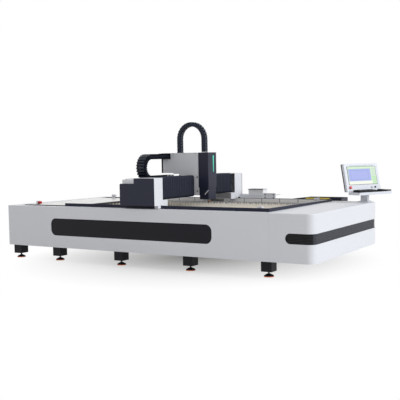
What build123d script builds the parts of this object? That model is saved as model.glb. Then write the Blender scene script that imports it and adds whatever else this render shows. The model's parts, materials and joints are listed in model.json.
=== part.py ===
from build123d import *
from math import cos, sin, pi, radians
import os

# Fiber laser cutting machine: bed with a saw-tooth slat table, a gantry with a
# cross carriage and a cutting head, drag chains, and an operator console.
# Working frame, in mm: X along the bed from its left end, Y across it from the
# face of the front cover, Z up from the floor. The finished pieces are moved
# so that the origin is at the centre of the whole footprint, on the floor.

# Bed and covers
bed_length = 4800.0
bed_width = 2240.0
cover_bottom = 200.0
cover_top = 775.0
sheet = 3.0
end_cover_length = 560.0
seam_gap = 1.0
end_radius = 100.0
top_edge_radius = 14.0
bottom_flange = 40.0
left_flange = 150.0
inset_start = 832.0
inset_length = 2629.0
inset_bottom = 370.0
inset_height = 240.0
inset_radius = 85.0
inset_overlap = 20.0
inset_thickness = 2.5
band_reach = 357.0
band_bottom = 422.0
band_height = 123.0
band_recess = 18.0
band_back = 5.0
band_lip = 12.0
band_ribs = 7
rib_height = 8.0
rib_depth = 10.0

# Welded frame
side_beam_y = 125.0
side_beam_width = 200.0
side_beam_height = 200.0
side_beam_top = 720.0
side_beam_wall = 8.0
frame_end_inset = 15.0
frame_right_inset = 140.0
cross_width = 120.0
cross_height = 100.0
cross_wall = 6.0
ledge_width = 30.0
ledge_thickness = 4.0
ledge_drop = 60.0

# Legs and levelling feet
leg_first = 12.0
leg_second = 779.0
leg_seam_gap = 152.0
legs_at_pitch = 4
leg_size = 140.0
leg_wall = 6.0
leg_plate = 12.0
leg_inset = 80.0
leg_bottom = 66.0
foot_radius = 58.0
foot_rubber_height = 9.0
foot_rim_height = 9.0
foot_neck_radius = 20.0
foot_cone_height = 20.0
stud_radius = 10.0
nut_across_flats = 30.0
nut_height = 12.0

# Cutting table
table_rim_gap = 40.0
table_near = 362.0
table_tube_width = 60.0
table_tube_height = 45.0
table_tube_wall = 4.0
table_bar_width = 10.0
table_bars = 3
slat_inset = 55.0
slat_pitch = 100.0
slat_end_margin = 8.0
slat_thickness = 4.0
slat_height = 90.0
tooth_count = 20
tooth_depth = 26.0
tooth_land = 6.0
pan_depth = 120.0
pan_sheet = 3.0
pan_gap = 4.0
pan_taper = 60.0
pan_side_gap = 75.0

# Raised rim round the table and tail deck beside it
rim_line = 115.0
rim_wall = 6.0
rim_top = 800.0
rim_left = 1000.0
rim_seam_inset = 50.0
rim_bar = 20.0
rim_foot = 22.0
rim_foot_thickness = 5.0
deck_rim_gap = 4.0
deck_near = 300.0
deck_sheet = 4.0
deck_drop = 3.0

# Long rails, racks, stops and drive
rail_width = 25.0
rail_height = 30.0
x_rail_y = 240.0
x_rail_left = 450.0
rail_stop_gap = 5.0
x_rack_y = 185.0
rack_width = 20.0
rack_height = 24.0
pinion_radius = 20.0
pinion_height = 22.0
mesh_gap = 0.4
run_gap = 0.3
bore_gap = 0.08
buffer_radius = 20.0
buffer_length = 46.0
buffer_height = 838.0
stop_thickness = 24.0
stop_width = 50.0
stop_margin = 4.0
stop_left_start = 354.0
stop_rim_gap = 149.0
stop_gap = 4.0

# Gantry
gantry_left = 2100.0
gantry_right = 2645.0
step_x = 2330.0
housing_near = -33.0
housing_inner = 155.0
far_housing_extra = 35.0
housing_bottom = 820.0
housing_step_top = 1104.0
housing_top = 1175.0
panel_thickness = 12.0
panel_corner = 18.0
foot_box_near = 126.0
foot_box_inner = 268.0
foot_box_bottom = 790.0
foot_box_top = 885.0
foot_box_wall = 10.0
beam_left = 2230.0
beam_right = 2500.0
beam_bottom = 905.0
beam_top = 1150.0
beam_wall = 8.0
beam_gap = 1.0
beam_pad_right = 2395.0
motor_size = 80.0
gearbox_height = 60.0
motor_height = 130.0
x_motor_x = 2167.0
x_motor_y = 165.0
shaft_radius = 12.0
block_length = 90.0
x_block_width = 64.0
x_block_bottom = 727.0
x_block_spread = 380.0
y_rail_low = 945.0
y_rail_high = 1110.0
y_rail_protrusion = 25.0
y_rack_x = 2305.0

# Bellows over the cross rails
bellows_back = 2400.0
bellows_front = 2600.0
bellows_top = 1180.0
bellows_fold = 11.0
bellows_wall = 2.0
bellows_corner = 26.0
bellows_pitch = 42.0

# Carriage
carriage_width = 220.0
plate_back = 2560.0
plate_front = 2665.0
plate_bottom = 900.0
plate_wall = 20.0
plate_side = 12.0
bridge_bottom = 1200.0
bridge_thickness = 22.0
bridge_left = 2240.0
carriage_left = 2047.0
carriage_step = 2300.0
carriage_low = 1190.0
carriage_high = 1225.0
carriage_top = 1495.0
knob_radius = 9.0
knob_length = 12.0
y_block_spread = 120.0
y_motor_x = 2285.0
y_shaft_radius = 8.0

# Lifting axis and cutting head
z_house_right = 2825.0
z_house_bottom = 1010.0
strip_y = 27.0
strip_width = 20.0
strip_bottom = 1225.0
strip_top = 1450.0
strip_thickness = 2.5
z_rail_spread = 140.0
z_rail_width = 15.0
z_rail_protrusion = 15.0
z_rail_bottom = 1120.0
z_rail_top = 1430.0
screw_x = 2700.0
screw_radius = 8.0
screw_bottom = 1125.0
screw_top = 1440.0
belt_case_bottom = 1440.0
belt_case_top = 1460.0
belt_case_width = 60.0
belt_window = 3.0
slide_back = 2722.0
slide_thickness = 12.0
slide_width = 180.0
slide_bottom = 905.0
slide_top = 1310.0
slide_block_depth = 52.0
mast_width = 50.0
chain_seat_top = 1505.0
chain_seat_thickness = 8.0
shroud_back = 2674.0
shroud_right = 2818.0
shroud_bottom = 845.0
shroud_top = 1020.0
shroud_width = 204.0
shroud_chamfer = 16.0
head_depth = 78.0
head_width = 100.0
head_top = 1325.0
head_body_bottom = 930.0
head_barrel_radius = 35.0
head_barrel_bottom = 866.0
head_cone_bottom = 822.0
head_cone_radius = 14.0
nozzle_tip = 800.0
nozzle_radius = 12.0
nozzle_tip_radius = 4.0

# Drag chains
y_chain_left = 2057.0
y_chain_width = 140.0
y_chain_thick = 70.0
y_chain_radius = 150.0
y_chain_upper = 1450.0
y_chain_run = 447.0
y_chain_fixed_offset = 20.0
link_pitch = 52.0
tray_left = 2040.0
tray_floor = 1110.0
tray_wall_top = 1158.0
tray_near = -20.0
tray_far_reach = 130.0
z_chain_left = 2270.0
z_chain_right = 2735.0
z_chain_thick = 60.0
z_chain_width = 80.0
z_chain_top = 1925.0
x_chain_wall_gap = 20.0
x_chain_width = 100.0
x_chain_thick = 60.0
x_chain_radius = 85.0
x_chain_upper = 775.0
x_chain_bend_x = 2050.0
x_chain_fixed_x = 2800.0
x_chain_end_inset = 120.0

# Trough for the long drag chain, outside the far cover
trough_cover_gap = 22.0
trough_width = 256.0
trough_floor = 568.0
trough_left_inset = 50.0
trough_reach = 120.0
trough_high = 825.0
trough_far_high = 960.0
trough_near_high = 310.0
trough_rise_length = 60.0
trough_bracket_width = 60.0
trough_brackets = 5
shelf_level = 771.0
shelf_width = 115.0
shelf_length = 700.0
shelf_end_gap = 110.0
conduit_radius = 13.0
conduit_inset = 70.0
conduit_bow = 8.0
conduit_seat = 1.0
clamp_height = 32.0

# Arm that carries the long chain's moving end
arm_bottom = 838.0
arm_thickness = 8.0
arm_cover_overlap = 5.0
arm_far_margin = 35.0
arm_plate_gap = 10.0
arm_plate_length = 200.0
arm_plate_bottom = 785.0
arm_plate_top = 870.0
box_gantry_gap = 135.0
box_length = 260.0
box_cover_gap = 10.0
box_width = 150.0
box_top = 930.0
box_lid = 8.0

# Operator console
post_end_inset = 140.0
post_side_inset = 100.0
post_wide = 80.0
post_deep = 60.0
post_wall = 4.0
plinth_size = 120.0
plinth_height = 12.0
post_top = 868.0
swivel_height = 14.0
swivel_radius = 42.0
console_turn = 25.0
console_width = 620.0
tray_depth = 205.0
tray_height = 36.0
tray_lip = 6.0
monitor_height = 395.0
monitor_depth = 58.0
monitor_tilt = 12.0
monitor_corner = 10.0
screen_width = 455.0
screen_height = 250.0
screen_recess = 3.0
screen_thickness = 4.0
screen_top_margin = 26.0
keyboard_width = 330.0
keyboard_depth = 128.0
keyboard_height = 18.0
key_rows = 5
key_columns = 14
key_height = 6.0
mouse_length = 110.0
mouse_width = 64.0
mouse_height = 34.0
stop_button_radius = 20.0
stop_button_depth = 16.0
stop_stem_radius = 11.0
stop_press = 6.0
small_button_radius = 11.0
small_button_depth = 9.0
small_press = 3.0

# Derived levels and places
mid_y = bed_width / 2
far_cover = bed_width
cover_seam = bed_length - end_cover_length
band_start = bed_length - band_reach
frame_right_end = bed_length - frame_right_inset
leg_pitch = (cover_seam - leg_seam_gap - leg_second) / (legs_at_pitch - 1)
leg_starts = [leg_first] + [leg_second + leg_pitch * i for i in range(legs_at_pitch)]
rim_right = cover_seam - rim_seam_inset
deck_left = left_flange + seam_gap
deck_right = rim_left - deck_rim_gap
side_beam_bottom = side_beam_top - side_beam_height
foot_box_left = gantry_left + sheet
foot_box_right = gantry_right - sheet
stop_right_start = rim_right - stop_rim_gap - stop_thickness
buffer_reach = stop_thickness + buffer_length + stop_gap
x_rail_right = stop_right_start - rail_stop_gap
x_travel_back = foot_box_left - stop_left_start - buffer_reach
x_travel_forward = stop_right_start + stop_thickness - buffer_reach - foot_box_right
cross_bottom = side_beam_bottom
cross_top = cross_bottom + cross_height
table_left = rim_left + table_rim_gap
table_right = rim_right - table_rim_gap
slat_first = table_left + slat_inset
slat_count = int((table_right - slat_inset - slat_first) // slat_pitch) + 1
slat_length = bed_width - 2 * (table_near + slat_end_margin)
pan_length_across = bed_width - 2 * (side_beam_y + side_beam_width + pan_side_gap)
slat_bottom = cross_top + table_tube_height
slat_top = slat_bottom + slat_height
slat_near = mid_y - slat_length / 2
carriage_near = mid_y - carriage_width / 2
carriage_far = mid_y + carriage_width / 2
far_housing_outer = bed_width - housing_near + far_housing_extra
bridge_top = bridge_bottom + bridge_thickness
y_chain_center_z = y_chain_upper - y_chain_radius
y_chain_lower = y_chain_center_z - y_chain_radius
x_chain_center_z = x_chain_upper - x_chain_radius
x_chain_lower = x_chain_center_z - x_chain_radius
y_chain_bend_y = carriage_near - y_chain_run
y_chain_fixed_y = mid_y - y_chain_fixed_offset
tray_far = mid_y + tray_far_reach
trough_near = far_cover + trough_cover_gap
trough_far = trough_near + trough_width
trough_left = rim_left + trough_left_inset
trough_right = cover_seam + trough_reach
trough_rise_start = trough_right - trough_far_high
trough_near_rise = trough_right - trough_near_high
shelf_near = trough_far - sheet - shelf_width
shelf_right = trough_right - shelf_end_gap
shelf_left = shelf_right - shelf_length
conduit_start = shelf_left + conduit_inset
conduit_end = shelf_right - conduit_inset
x_chain_near = trough_near + sheet + x_chain_wall_gap
box_left = gantry_right + box_gantry_gap
box_right = box_left + box_length
box_near = far_cover + box_cover_gap
box_far = box_near + box_width
x_chain_end_x = box_left + x_chain_end_inset
arm_near = far_cover - arm_cover_overlap
arm_far = x_chain_near + x_chain_width + arm_far_margin
arm_plate_left = box_right + arm_plate_gap
arm_right = arm_plate_left + arm_plate_length
post_x = bed_length - post_end_inset
post_y = bed_width - post_side_inset


def slab(x0, x1, y0, y1, z0, z1):
    """Box between two corners."""
    return Pos((x0 + x1) / 2, (y0 + y1) / 2, (z0 + z1) / 2) * Box(x1 - x0, y1 - y0, z1 - z0)


def tube_x(x0, x1, y0, y1, z0, z1, wall):
    """Rectangular tube open at both ends, along X."""
    inner = slab(x0 - wall, x1 + wall, y0 + wall, y1 - wall, z0 + wall, z1 - wall)
    return slab(x0, x1, y0, y1, z0, z1) - inner


def tube_y(x0, x1, y0, y1, z0, z1, wall):
    """Rectangular tube open at both ends, along Y."""
    inner = slab(x0 + wall, x1 - wall, y0 - wall, y1 + wall, z0 + wall, z1 - wall)
    return slab(x0, x1, y0, y1, z0, z1) - inner


def tube_z(x0, x1, y0, y1, z0, z1, wall):
    """Rectangular tube open at both ends, upright."""
    inner = slab(x0 + wall, x1 - wall, y0 + wall, y1 - wall, z0 - wall, z1 + wall)
    return slab(x0, x1, y0, y1, z0, z1) - inner


def rod_z(x, y, z0, z1, radius):
    return Pos(x, y, (z0 + z1) / 2) * Cylinder(radius, z1 - z0)


def rod_x(x0, x1, y, z, radius):
    return Pos((x0 + x1) / 2, y, z) * Rot(0, 90, 0) * Cylinder(radius, x1 - x0)


def rod_y(x, y0, y1, z, radius):
    return Pos(x, (y0 + y1) / 2, z) * Rot(90, 0, 0) * Cylinder(radius, y1 - y0)


def prism_y(points, y0, y1):
    """Outline in X and Z, carried along Y."""
    outline = Plane.XZ.offset(-y0) * make_face(Polyline(*points, close=True))
    return extrude(outline, amount=y1 - y0, dir=(0, 1, 0))


def prism_x(points, x0, x1):
    """Outline in Y and Z, carried along X."""
    outline = Plane.YZ.offset(x0) * make_face(Polyline(*points, close=True))
    return extrude(outline, amount=x1 - x0, dir=(1, 0, 0))


def mirrored(shape):
    """The same piece on the far side of the bed."""
    return mirror(shape, about=Plane.XZ.offset(-mid_y))


def both_sides(shape):
    return [shape, mirrored(shape)]


def solids_of(items):
    found = []
    for item in items:
        found.extend(item.solids())
    return found


def group(items):
    """Separate solids that share one node."""
    return Compound(children=solids_of(items))


parts = {}


# Side beams of the welded bed, with the buffer stops standing on them
def make_side_beam():
    beam = tube_x(
        frame_end_inset, frame_right_end,
        side_beam_y, side_beam_y + side_beam_width,
        side_beam_bottom, side_beam_top, side_beam_wall,
    )
    stop_top = buffer_height + buffer_radius + stop_margin
    y0 = x_rail_y - stop_width / 2
    for x0 in (stop_left_start, stop_right_start):
        beam += slab(x0, x0 + stop_thickness, y0, y0 + stop_width, side_beam_top, stop_top)
    return beam


parts["side_beams"] = group(both_sides(make_side_beam()))


# Cross members at the legs, each with ledges for the slag pans
def make_cross_members():
    y0 = side_beam_y + side_beam_width
    members = []
    for index, start in enumerate(leg_starts):
        x0 = start + leg_size / 2 - cross_width / 2
        x1 = x0 + cross_width
        member = tube_y(x0, x1, y0, bed_width - y0, cross_bottom, cross_top, cross_wall)
        top = cross_top - ledge_drop
        if index > 1:
            member += slab(x0 - ledge_width, x0, y0, bed_width - y0, top - ledge_thickness, top)
        if 0 < index < legs_at_pitch:
            member += slab(x1, x1 + ledge_width, y0, bed_width - y0, top - ledge_thickness, top)
        members.append(member)
    return members


parts["cross_members"] = group(make_cross_members())


# Legs: square tube with a plate at each end
def make_leg(start):
    y0 = leg_inset
    y1 = leg_inset + leg_size
    leg = tube_z(start, start + leg_size, y0, y1, leg_bottom, side_beam_bottom, leg_wall)
    foot = slab(start, start + leg_size, y0, y1, leg_bottom, leg_bottom + leg_plate)
    cap = slab(start, start + leg_size, y0, y1, side_beam_bottom - leg_plate, side_beam_bottom)
    return leg + foot + cap


legs = [make_leg(start) for start in leg_starts]
parts["support_legs"] = group(legs + [mirrored(leg) for leg in legs])


# Levelling feet: turned disc, stud and lock nut, over a rubber ring
def make_foot(x, y):
    rim = foot_rubber_height + foot_rim_height
    cone = rim + foot_cone_height
    profile = Polyline(
        (0, foot_rubber_height), (foot_radius, foot_rubber_height), (foot_radius, rim),
        (foot_neck_radius, cone), (stud_radius, cone + 3), (stud_radius, leg_bottom),
        (0, leg_bottom), close=True,
    )
    disc = revolve(Plane.XZ * make_face(profile), Axis.Z)
    nut = extrude(RegularPolygon(nut_across_flats / 2, 6, major_radius=False), nut_height)
    return Pos(x, y, 0) * (disc + Pos(0, 0, leg_bottom - nut_height) * nut)


def make_foot_rubber(x, y):
    ring = rod_z(x, y, 0, foot_rubber_height, foot_radius + 3)
    return ring


foot_places = []
for start in leg_starts:
    near_y = leg_inset + leg_size / 2
    foot_places.append((start + leg_size / 2, near_y))
    foot_places.append((start + leg_size / 2, bed_width - near_y))
parts["levelling_feet"] = group([make_foot(x, y) for x, y in foot_places])
parts["foot_rubbers"] = group([make_foot_rubber(x, y) for x, y in foot_places])


# Long covers: one folded sheet each, with a flange at the top and the bottom
def make_long_cover():
    x0 = sheet
    x1 = cover_seam - seam_gap
    wall = slab(x0, x1, 0, sheet, cover_bottom, cover_top)
    top = slab(x0, x1, 0, rim_line, cover_top - sheet, cover_top)
    bottom = slab(x0, x1, 0, bottom_flange, cover_bottom, cover_bottom + sheet)
    return wall + top + bottom


def rounded_window(x0, length, z0, height, radius, y0, y1):
    """Rounded rectangle in X and Z, carried along Y."""
    middle = Pos(x0 + length / 2, y0, z0 + height / 2)
    outline = middle * Rot(90, 0, 0) * RectangleRounded(length, height, radius)
    return extrude(outline, amount=y1 - y0, dir=(0, 1, 0))


front_window = rounded_window(
    inset_start, inset_length, inset_bottom, inset_height, inset_radius, -sheet, 2 * sheet,
)
parts["front_cover"] = make_long_cover() - front_window
parts["front_inset_panel"] = rounded_window(
    inset_start - inset_overlap, inset_length + 2 * inset_overlap,
    inset_bottom - inset_overlap, inset_height + 2 * inset_overlap,
    inset_radius + inset_overlap, sheet, sheet + inset_thickness,
)
parts["rear_cover"] = mirrored(make_long_cover())


# Left end cover: a plain folded sheet
def make_left_cover():
    wall = slab(0, sheet, 0, bed_width, cover_bottom, cover_top)
    flange_near = rim_line + seam_gap
    top = slab(sheet, left_flange, flange_near, bed_width - flange_near, cover_top - sheet, cover_top)
    foot_near = leg_inset + leg_size
    bottom = slab(
        sheet, bottom_flange, foot_near, bed_width - foot_near, cover_bottom, cover_bottom + sheet,
    )
    return wall + top + bottom


parts["left_end_cover"] = make_left_cover()


# Right end cover: a shell that wraps both corners, with a window for the band
def end_outline(inset, start):
    """Plan outline of the right end, moved in by the inset."""
    radius = end_radius - inset
    length = bed_length - inset - start
    width = bed_width - 2 * inset
    block = Pos(start + length / 2, mid_y) * Rectangle(length, width)
    corners = [v for v in block.vertices() if v.X > start + 1]
    return fillet(corners, radius)


def end_prism(inset, start, z0, z1):
    return Pos(0, 0, z0) * extrude(end_outline(inset, start), z1 - z0)


def band_window(grow):
    """Side view of the band's window, carried right across the bed."""
    height = band_height + 2 * grow
    length = bed_length - band_start + 2 * band_height + 2 * grow
    return rounded_window(
        band_start - grow, length, band_bottom - grow, height, height / 2 - 0.01,
        -band_recess, bed_width + band_recess,
    )


def make_right_cover():
    outer = end_prism(0, cover_seam, cover_bottom, cover_top)
    rim = [e for e in outer.faces().sort_by(Axis.Z)[-1].edges() if e.center().X > cover_seam + 1]
    outer = fillet(rim, top_edge_radius)
    inner = end_prism(sheet, cover_seam - sheet, cover_bottom - sheet, cover_top - sheet)
    edge = [e for e in inner.faces().sort_by(Axis.Z)[-1].edges() if e.center().X > cover_seam]
    inner = fillet(edge, top_edge_radius - sheet)
    shell = outer - inner
    tongue = slab(
        rim_right, cover_seam + sheet, rim_line, bed_width - rim_line, cover_top - sheet, cover_top,
    )
    return shell + tongue - band_window(0)


parts["right_end_cover"] = make_right_cover()


# Ribbed band: a tray behind the window that wraps both corners, with long ribs
def make_end_band():
    start = band_start - band_lip
    z0 = band_bottom - band_lip
    z1 = band_bottom + band_height + band_lip
    back = band_recess + band_back
    tray = end_prism(sheet, start, z0, z1) - end_prism(back, start - back, z0 - 1, z1 + 1)
    pocket = end_prism(-1, start - back, z0, z1) - end_prism(band_recess, start - 2 * back, z0 - 1, z1 + 1)
    tray = tray - (pocket & band_window(0))
    pitch = band_height / band_ribs
    rib_face = band_recess - rib_depth
    ribs = []
    for i in range(band_ribs):
        z = band_bottom + pitch * (i + 0.5)
        low = z - rib_height / 2
        high = z + rib_height / 2
        rib = end_prism(rib_face, start, low, high) - end_prism(band_recess + 1, start - back, low - 1, high + 1)
        ribs.append(rib & band_window(-0.5))
    for rib in ribs:
        tray = tray + rib
    return tray


parts["end_band"] = make_end_band()


# Tail deck: folded sheet standing on the side beams
def make_tail_deck():
    top = cover_top - deck_drop
    deck = slab(deck_left, deck_right, deck_near, bed_width - deck_near, top - deck_sheet, top)
    for y in (deck_near, bed_width - deck_near - deck_sheet):
        deck += slab(deck_left, deck_right, y, y + deck_sheet, side_beam_top, top)
    return deck


parts["tail_deck"] = make_tail_deck()


# Rim: angles along the covers and a bar across the right end
def make_rim_side():
    angle = slab(rim_left, rim_right, rim_line, rim_line + rim_wall, side_beam_top, rim_top)
    return angle + slab(
        rim_left, rim_right - rim_bar, rim_line, rim_line + rim_foot + rim_wall,
        side_beam_top, side_beam_top + rim_foot_thickness,
    )


rim_end = slab(
    rim_right - rim_bar, rim_right, rim_line + rim_wall, bed_width - rim_line - rim_wall,
    side_beam_top, rim_top,
)
parts["table_rim"] = group(both_sides(make_rim_side()) + [rim_end])


# Table frame: side tubes, end tubes and bars that carry the slats
def make_table_frame():
    z0 = cross_top
    z1 = slat_bottom
    y0 = table_near
    y1 = table_near + table_tube_width
    side = tube_x(table_left, table_right, y0, y1, z0, z1, table_tube_wall)
    ends = []
    for x0 in (table_left, table_right - table_tube_width):
        x1 = x0 + table_tube_width
        ends.append(tube_y(x0, x1, y1, bed_width - y1, z0, z1, table_tube_wall))
    bars = []
    step = (bed_width - 2 * y1) / (table_bars + 1)
    for i in range(table_bars):
        y = y1 + step * (i + 1) - table_bar_width / 2
        x0 = table_left + table_tube_width
        x1 = table_right - table_tube_width
        bars.append(slab(x0, x1, y, y + table_bar_width, z0, z1))
    return both_sides(side) + ends + bars


parts["table_frame"] = group(make_table_frame())


# Slats: upright blades with saw teeth along the top
def make_slat():
    pitch = slat_length / tooth_count
    root = slat_top - tooth_depth
    points = [(slat_near, slat_bottom), (slat_near + slat_length, slat_bottom)]
    points.append((slat_near + slat_length, root))
    for i in range(tooth_count):
        tip = slat_near + slat_length - pitch * (i + 0.5)
        valley = slat_near + slat_length - pitch * (i + 1)
        points.append((tip, slat_top))
        points.append((valley, root))
    return prism_x(points, -slat_thickness / 2, slat_thickness / 2)


slat = make_slat()
parts["support_slats"] = group([Pos(slat_first + slat_pitch * i, 0, 0) * slat for i in range(slat_count)])


# Slag pans: tapered sheet trays that hang on the cross members' ledges
def make_pan(left, right):
    ledge_top = cross_top - ledge_drop
    x0 = left + pan_gap
    x1 = right - pan_gap
    y0 = mid_y - pan_length_across / 2
    y1 = mid_y + pan_length_across / 2
    inset = ledge_width + pan_gap
    top = Plane.XY.offset(ledge_top) * Pos((x0 + x1) / 2, mid_y) * Rectangle(
        x1 - x0 - 2 * inset, y1 - y0 - 2 * inset,
    )
    bottom = Plane.XY.offset(ledge_top - pan_depth) * Pos((x0 + x1) / 2, mid_y) * Rectangle(
        x1 - x0 - 2 * inset - 2 * pan_taper, y1 - y0 - 2 * inset - 2 * pan_taper,
    )
    body = loft([bottom, top], ruled=True)
    hollow = Pos(0, 0, pan_sheet) * loft(
        [offset(bottom, -pan_sheet), offset(top, -pan_sheet)], ruled=True,
    )
    flange = slab(x0, x1, y0, y1, ledge_top, ledge_top + pan_sheet)
    mouth = extrude(Plane.XY.offset(ledge_top - 1) * Pos((x0 + x1) / 2, mid_y) * Rectangle(
        x1 - x0 - 2 * inset - 2 * pan_sheet, y1 - y0 - 2 * inset - 2 * pan_sheet,
    ), pan_sheet + 2)
    return body + flange - hollow - mouth


pans = []
for start in leg_starts[1:-1]:
    left = start + leg_size / 2 + cross_width / 2
    pans.append(make_pan(left, left + leg_pitch - cross_width))
parts["slag_pans"] = group(pans)


# Long rails with the racks beside them
def make_x_rail():
    rail = slab(
        x_rail_left, x_rail_right, x_rail_y - rail_width / 2, x_rail_y + rail_width / 2,
        side_beam_top, side_beam_top + rail_height,
    )
    groove = rail_height * 0.35
    depth = rail_width * 0.1
    for side in (-1, 1):
        y = x_rail_y + side * rail_width / 2
        rail -= slab(
            x_rail_left - 1, x_rail_right + 1, y - depth, y + depth,
            side_beam_top + rail_height - groove - depth, side_beam_top + rail_height - groove + depth,
        )
    return rail


x_rack = slab(
    x_rail_left, x_rail_right, x_rack_y, x_rack_y + rack_width,
    side_beam_top, side_beam_top + rack_height,
)
parts["x_rails"] = group(both_sides(make_x_rail()) + both_sides(x_rack))


# Rubber buffers on the stops at both ends of both rails
def make_buffers():
    left_face = stop_left_start + stop_thickness
    left = rod_x(left_face, left_face + buffer_length, x_rail_y, buffer_height, buffer_radius)
    right = rod_x(stop_right_start - buffer_length, stop_right_start, x_rail_y, buffer_height, buffer_radius)
    return both_sides(left) + both_sides(right)


parts["buffers"] = group(make_buffers())


# Drag chains: links along straight runs and a half-round bend
def chain_link(start, end, thick, along):
    """Link side view between two stations, each a point and a turn."""
    neck = thick * 0.38
    half = thick / 2
    points = []
    for side in (1, -1):
        rows = []
        for (u, v, turn), shift in ((start, 1), (end, -1)):
            normal = (-sin(turn), cos(turn))
            tangent = (cos(turn), sin(turn))
            rows.append(((u + side * neck * normal[0], v + side * neck * normal[1]),
                         (u + shift * along * tangent[0] + side * half * normal[0],
                          v + shift * along * tangent[1] + side * half * normal[1])))
        (a, b), (d, c) = rows
        points.extend([a, b, c, d] if side == 1 else [d, c, b, a])
    return points


def chain_stations(lower, upper, radius, runs):
    """Stations from the fixed end, round the bend, to the moving end."""
    first, bend, last = runs
    stations = []
    count = max(1, round(abs(first - bend) / link_pitch))
    for i in range(count):
        stations.append((first + (bend - first) * i / count, lower, pi))
    turns = max(4, round(pi * radius / link_pitch))
    center = (lower + upper) / 2
    for i in range(turns + 1):
        turn = pi * i / turns
        stations.append((bend - radius * sin(turn), center - radius * cos(turn), pi - turn))
    count = max(1, round(abs(last - bend) / link_pitch))
    for i in range(1, count + 1):
        stations.append((bend + (last - bend) * i / count, upper, 0))
    return stations


def chain_solids(stations, thick, place):
    along = link_pitch * 0.12
    links = []
    for start, end in zip(stations, stations[1:]):
        links.append(place(chain_link(start, end, thick, along)))
    return links


y_stations = chain_stations(
    y_chain_lower, y_chain_upper, y_chain_radius,
    (y_chain_fixed_y, y_chain_bend_y, carriage_near - 2),
)
parts["y_drag_chain"] = group(chain_solids(
    y_stations, y_chain_thick,
    lambda points: prism_x(points, y_chain_left, y_chain_left + y_chain_width),
))
x_stations = chain_stations(
    x_chain_lower, x_chain_upper, x_chain_radius,
    (x_chain_fixed_x, x_chain_bend_x, x_chain_end_x),
)
parts["x_drag_chain"] = group(chain_solids(
    x_stations, x_chain_thick,
    lambda points: prism_y(points, x_chain_near, x_chain_near + x_chain_width),
))


# The upright chain stands as an arch between the carriage and the head
def arch_stations():
    radius = (z_chain_right - z_chain_left - z_chain_thick) / 2
    middle = (z_chain_left + z_chain_right) / 2
    spring = z_chain_top - z_chain_thick / 2 - radius
    stations = []
    count = max(1, round((spring - carriage_top) / link_pitch))
    for i in range(count):
        stations.append((middle - radius, carriage_top + (spring - carriage_top) * i / count, pi / 2))
    turns = max(4, round(pi * radius / link_pitch))
    for i in range(turns + 1):
        turn = pi * i / turns
        stations.append((middle - radius * cos(turn), spring + radius * sin(turn), pi / 2 - turn))
    count = max(1, round((spring - chain_seat_top) / link_pitch))
    for i in range(1, count + 1):
        stations.append((middle + radius, spring - (spring - chain_seat_top) * i / count, -pi / 2))
    return stations


parts["z_drag_chain"] = group(chain_solids(
    arch_stations(), z_chain_thick,
    lambda points: prism_y(points, mid_y - z_chain_width / 2, mid_y + z_chain_width / 2),
))


# Trough for the long chain: folded sheet with a higher far wall at its right end
def make_trough():
    floor = slab(trough_left, trough_right, trough_near, trough_far, trough_floor - sheet, trough_floor)

    def wall_points(rise):
        return [
            (trough_left, trough_floor - sheet), (trough_right, trough_floor - sheet),
            (trough_right, trough_high), (rise + trough_rise_length, trough_high),
            (rise, cover_top), (trough_left, cover_top),
        ]

    near = prism_y(wall_points(trough_near_rise), trough_near, trough_near + sheet)
    far = prism_y(wall_points(trough_rise_start), trough_far - sheet, trough_far)
    trough = floor + near + far
    trough += slab(
        trough_right - sheet, trough_right, trough_near, trough_far, trough_floor, trough_high,
    )
    trough += slab(
        trough_left, trough_left + sheet, trough_near, trough_far, trough_floor, x_chain_lower,
    )
    trough += slab(
        shelf_left, shelf_right, shelf_near, trough_far - sheet, shelf_level - sheet, shelf_level,
    )
    span = trough_right - trough_left - trough_bracket_width
    for i in range(trough_brackets):
        x = trough_left + span * i / (trough_brackets - 1)
        trough += slab(
            x, x + trough_bracket_width, far_cover, trough_near, trough_floor, trough_floor + 2 * trough_bracket_width,
        )
    for x in (conduit_start, conduit_end - clamp_height):
        trough += slab(
            x, x + clamp_height, shelf_near + sheet, trough_far - sheet,
            shelf_level, shelf_level + clamp_height,
        )
    trough += slab(
        x_chain_fixed_x - link_pitch, x_chain_fixed_x, x_chain_near, x_chain_near + x_chain_width,
        trough_floor, x_chain_lower - x_chain_thick * 0.5,
    )
    return trough


parts["chain_trough"] = make_trough()


# Armoured conduits held by clamps on the trough's shelf, slightly bowed
def make_conduit(y, bow):
    x0 = conduit_start + clamp_height + conduit_seat
    x1 = conduit_end - clamp_height - conduit_seat
    z = shelf_level + conduit_radius
    path = ThreePointArc((x0, y, z), ((x0 + x1) / 2, y - bow, z), (x1, y, z))
    section = Plane(origin=path @ 0, z_dir=path % 0) * Circle(conduit_radius)
    return sweep(section, path)


conduit_y = (shelf_near + trough_far) / 2
parts["yellow_conduits"] = group([
    make_conduit(conduit_y - conduit_radius - 4, conduit_bow),
    make_conduit(conduit_y + conduit_radius + 10, conduit_bow),
])


# Gantry: feet over the rails and a hollow beam on pads
def make_gantry_foot():
    wall = foot_box_wall
    foot = slab(
        foot_box_left, foot_box_right, foot_box_near, foot_box_inner, foot_box_bottom, foot_box_top,
    )
    foot -= slab(
        foot_box_left + wall, foot_box_right - wall, foot_box_near + wall, foot_box_inner + 1,
        foot_box_bottom + wall, foot_box_top - wall,
    )
    foot -= rod_z(x_motor_x, x_motor_y, foot_box_bottom - 1, foot_box_top + 1, shaft_radius + bore_gap)
    pad = slab(
        beam_left + wall / 2, beam_pad_right, housing_inner + beam_gap, foot_box_inner - wall, foot_box_top, beam_bottom,
    )
    return foot + pad


near_foot = make_gantry_foot()
parts["gantry_feet"] = group(both_sides(near_foot))


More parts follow.
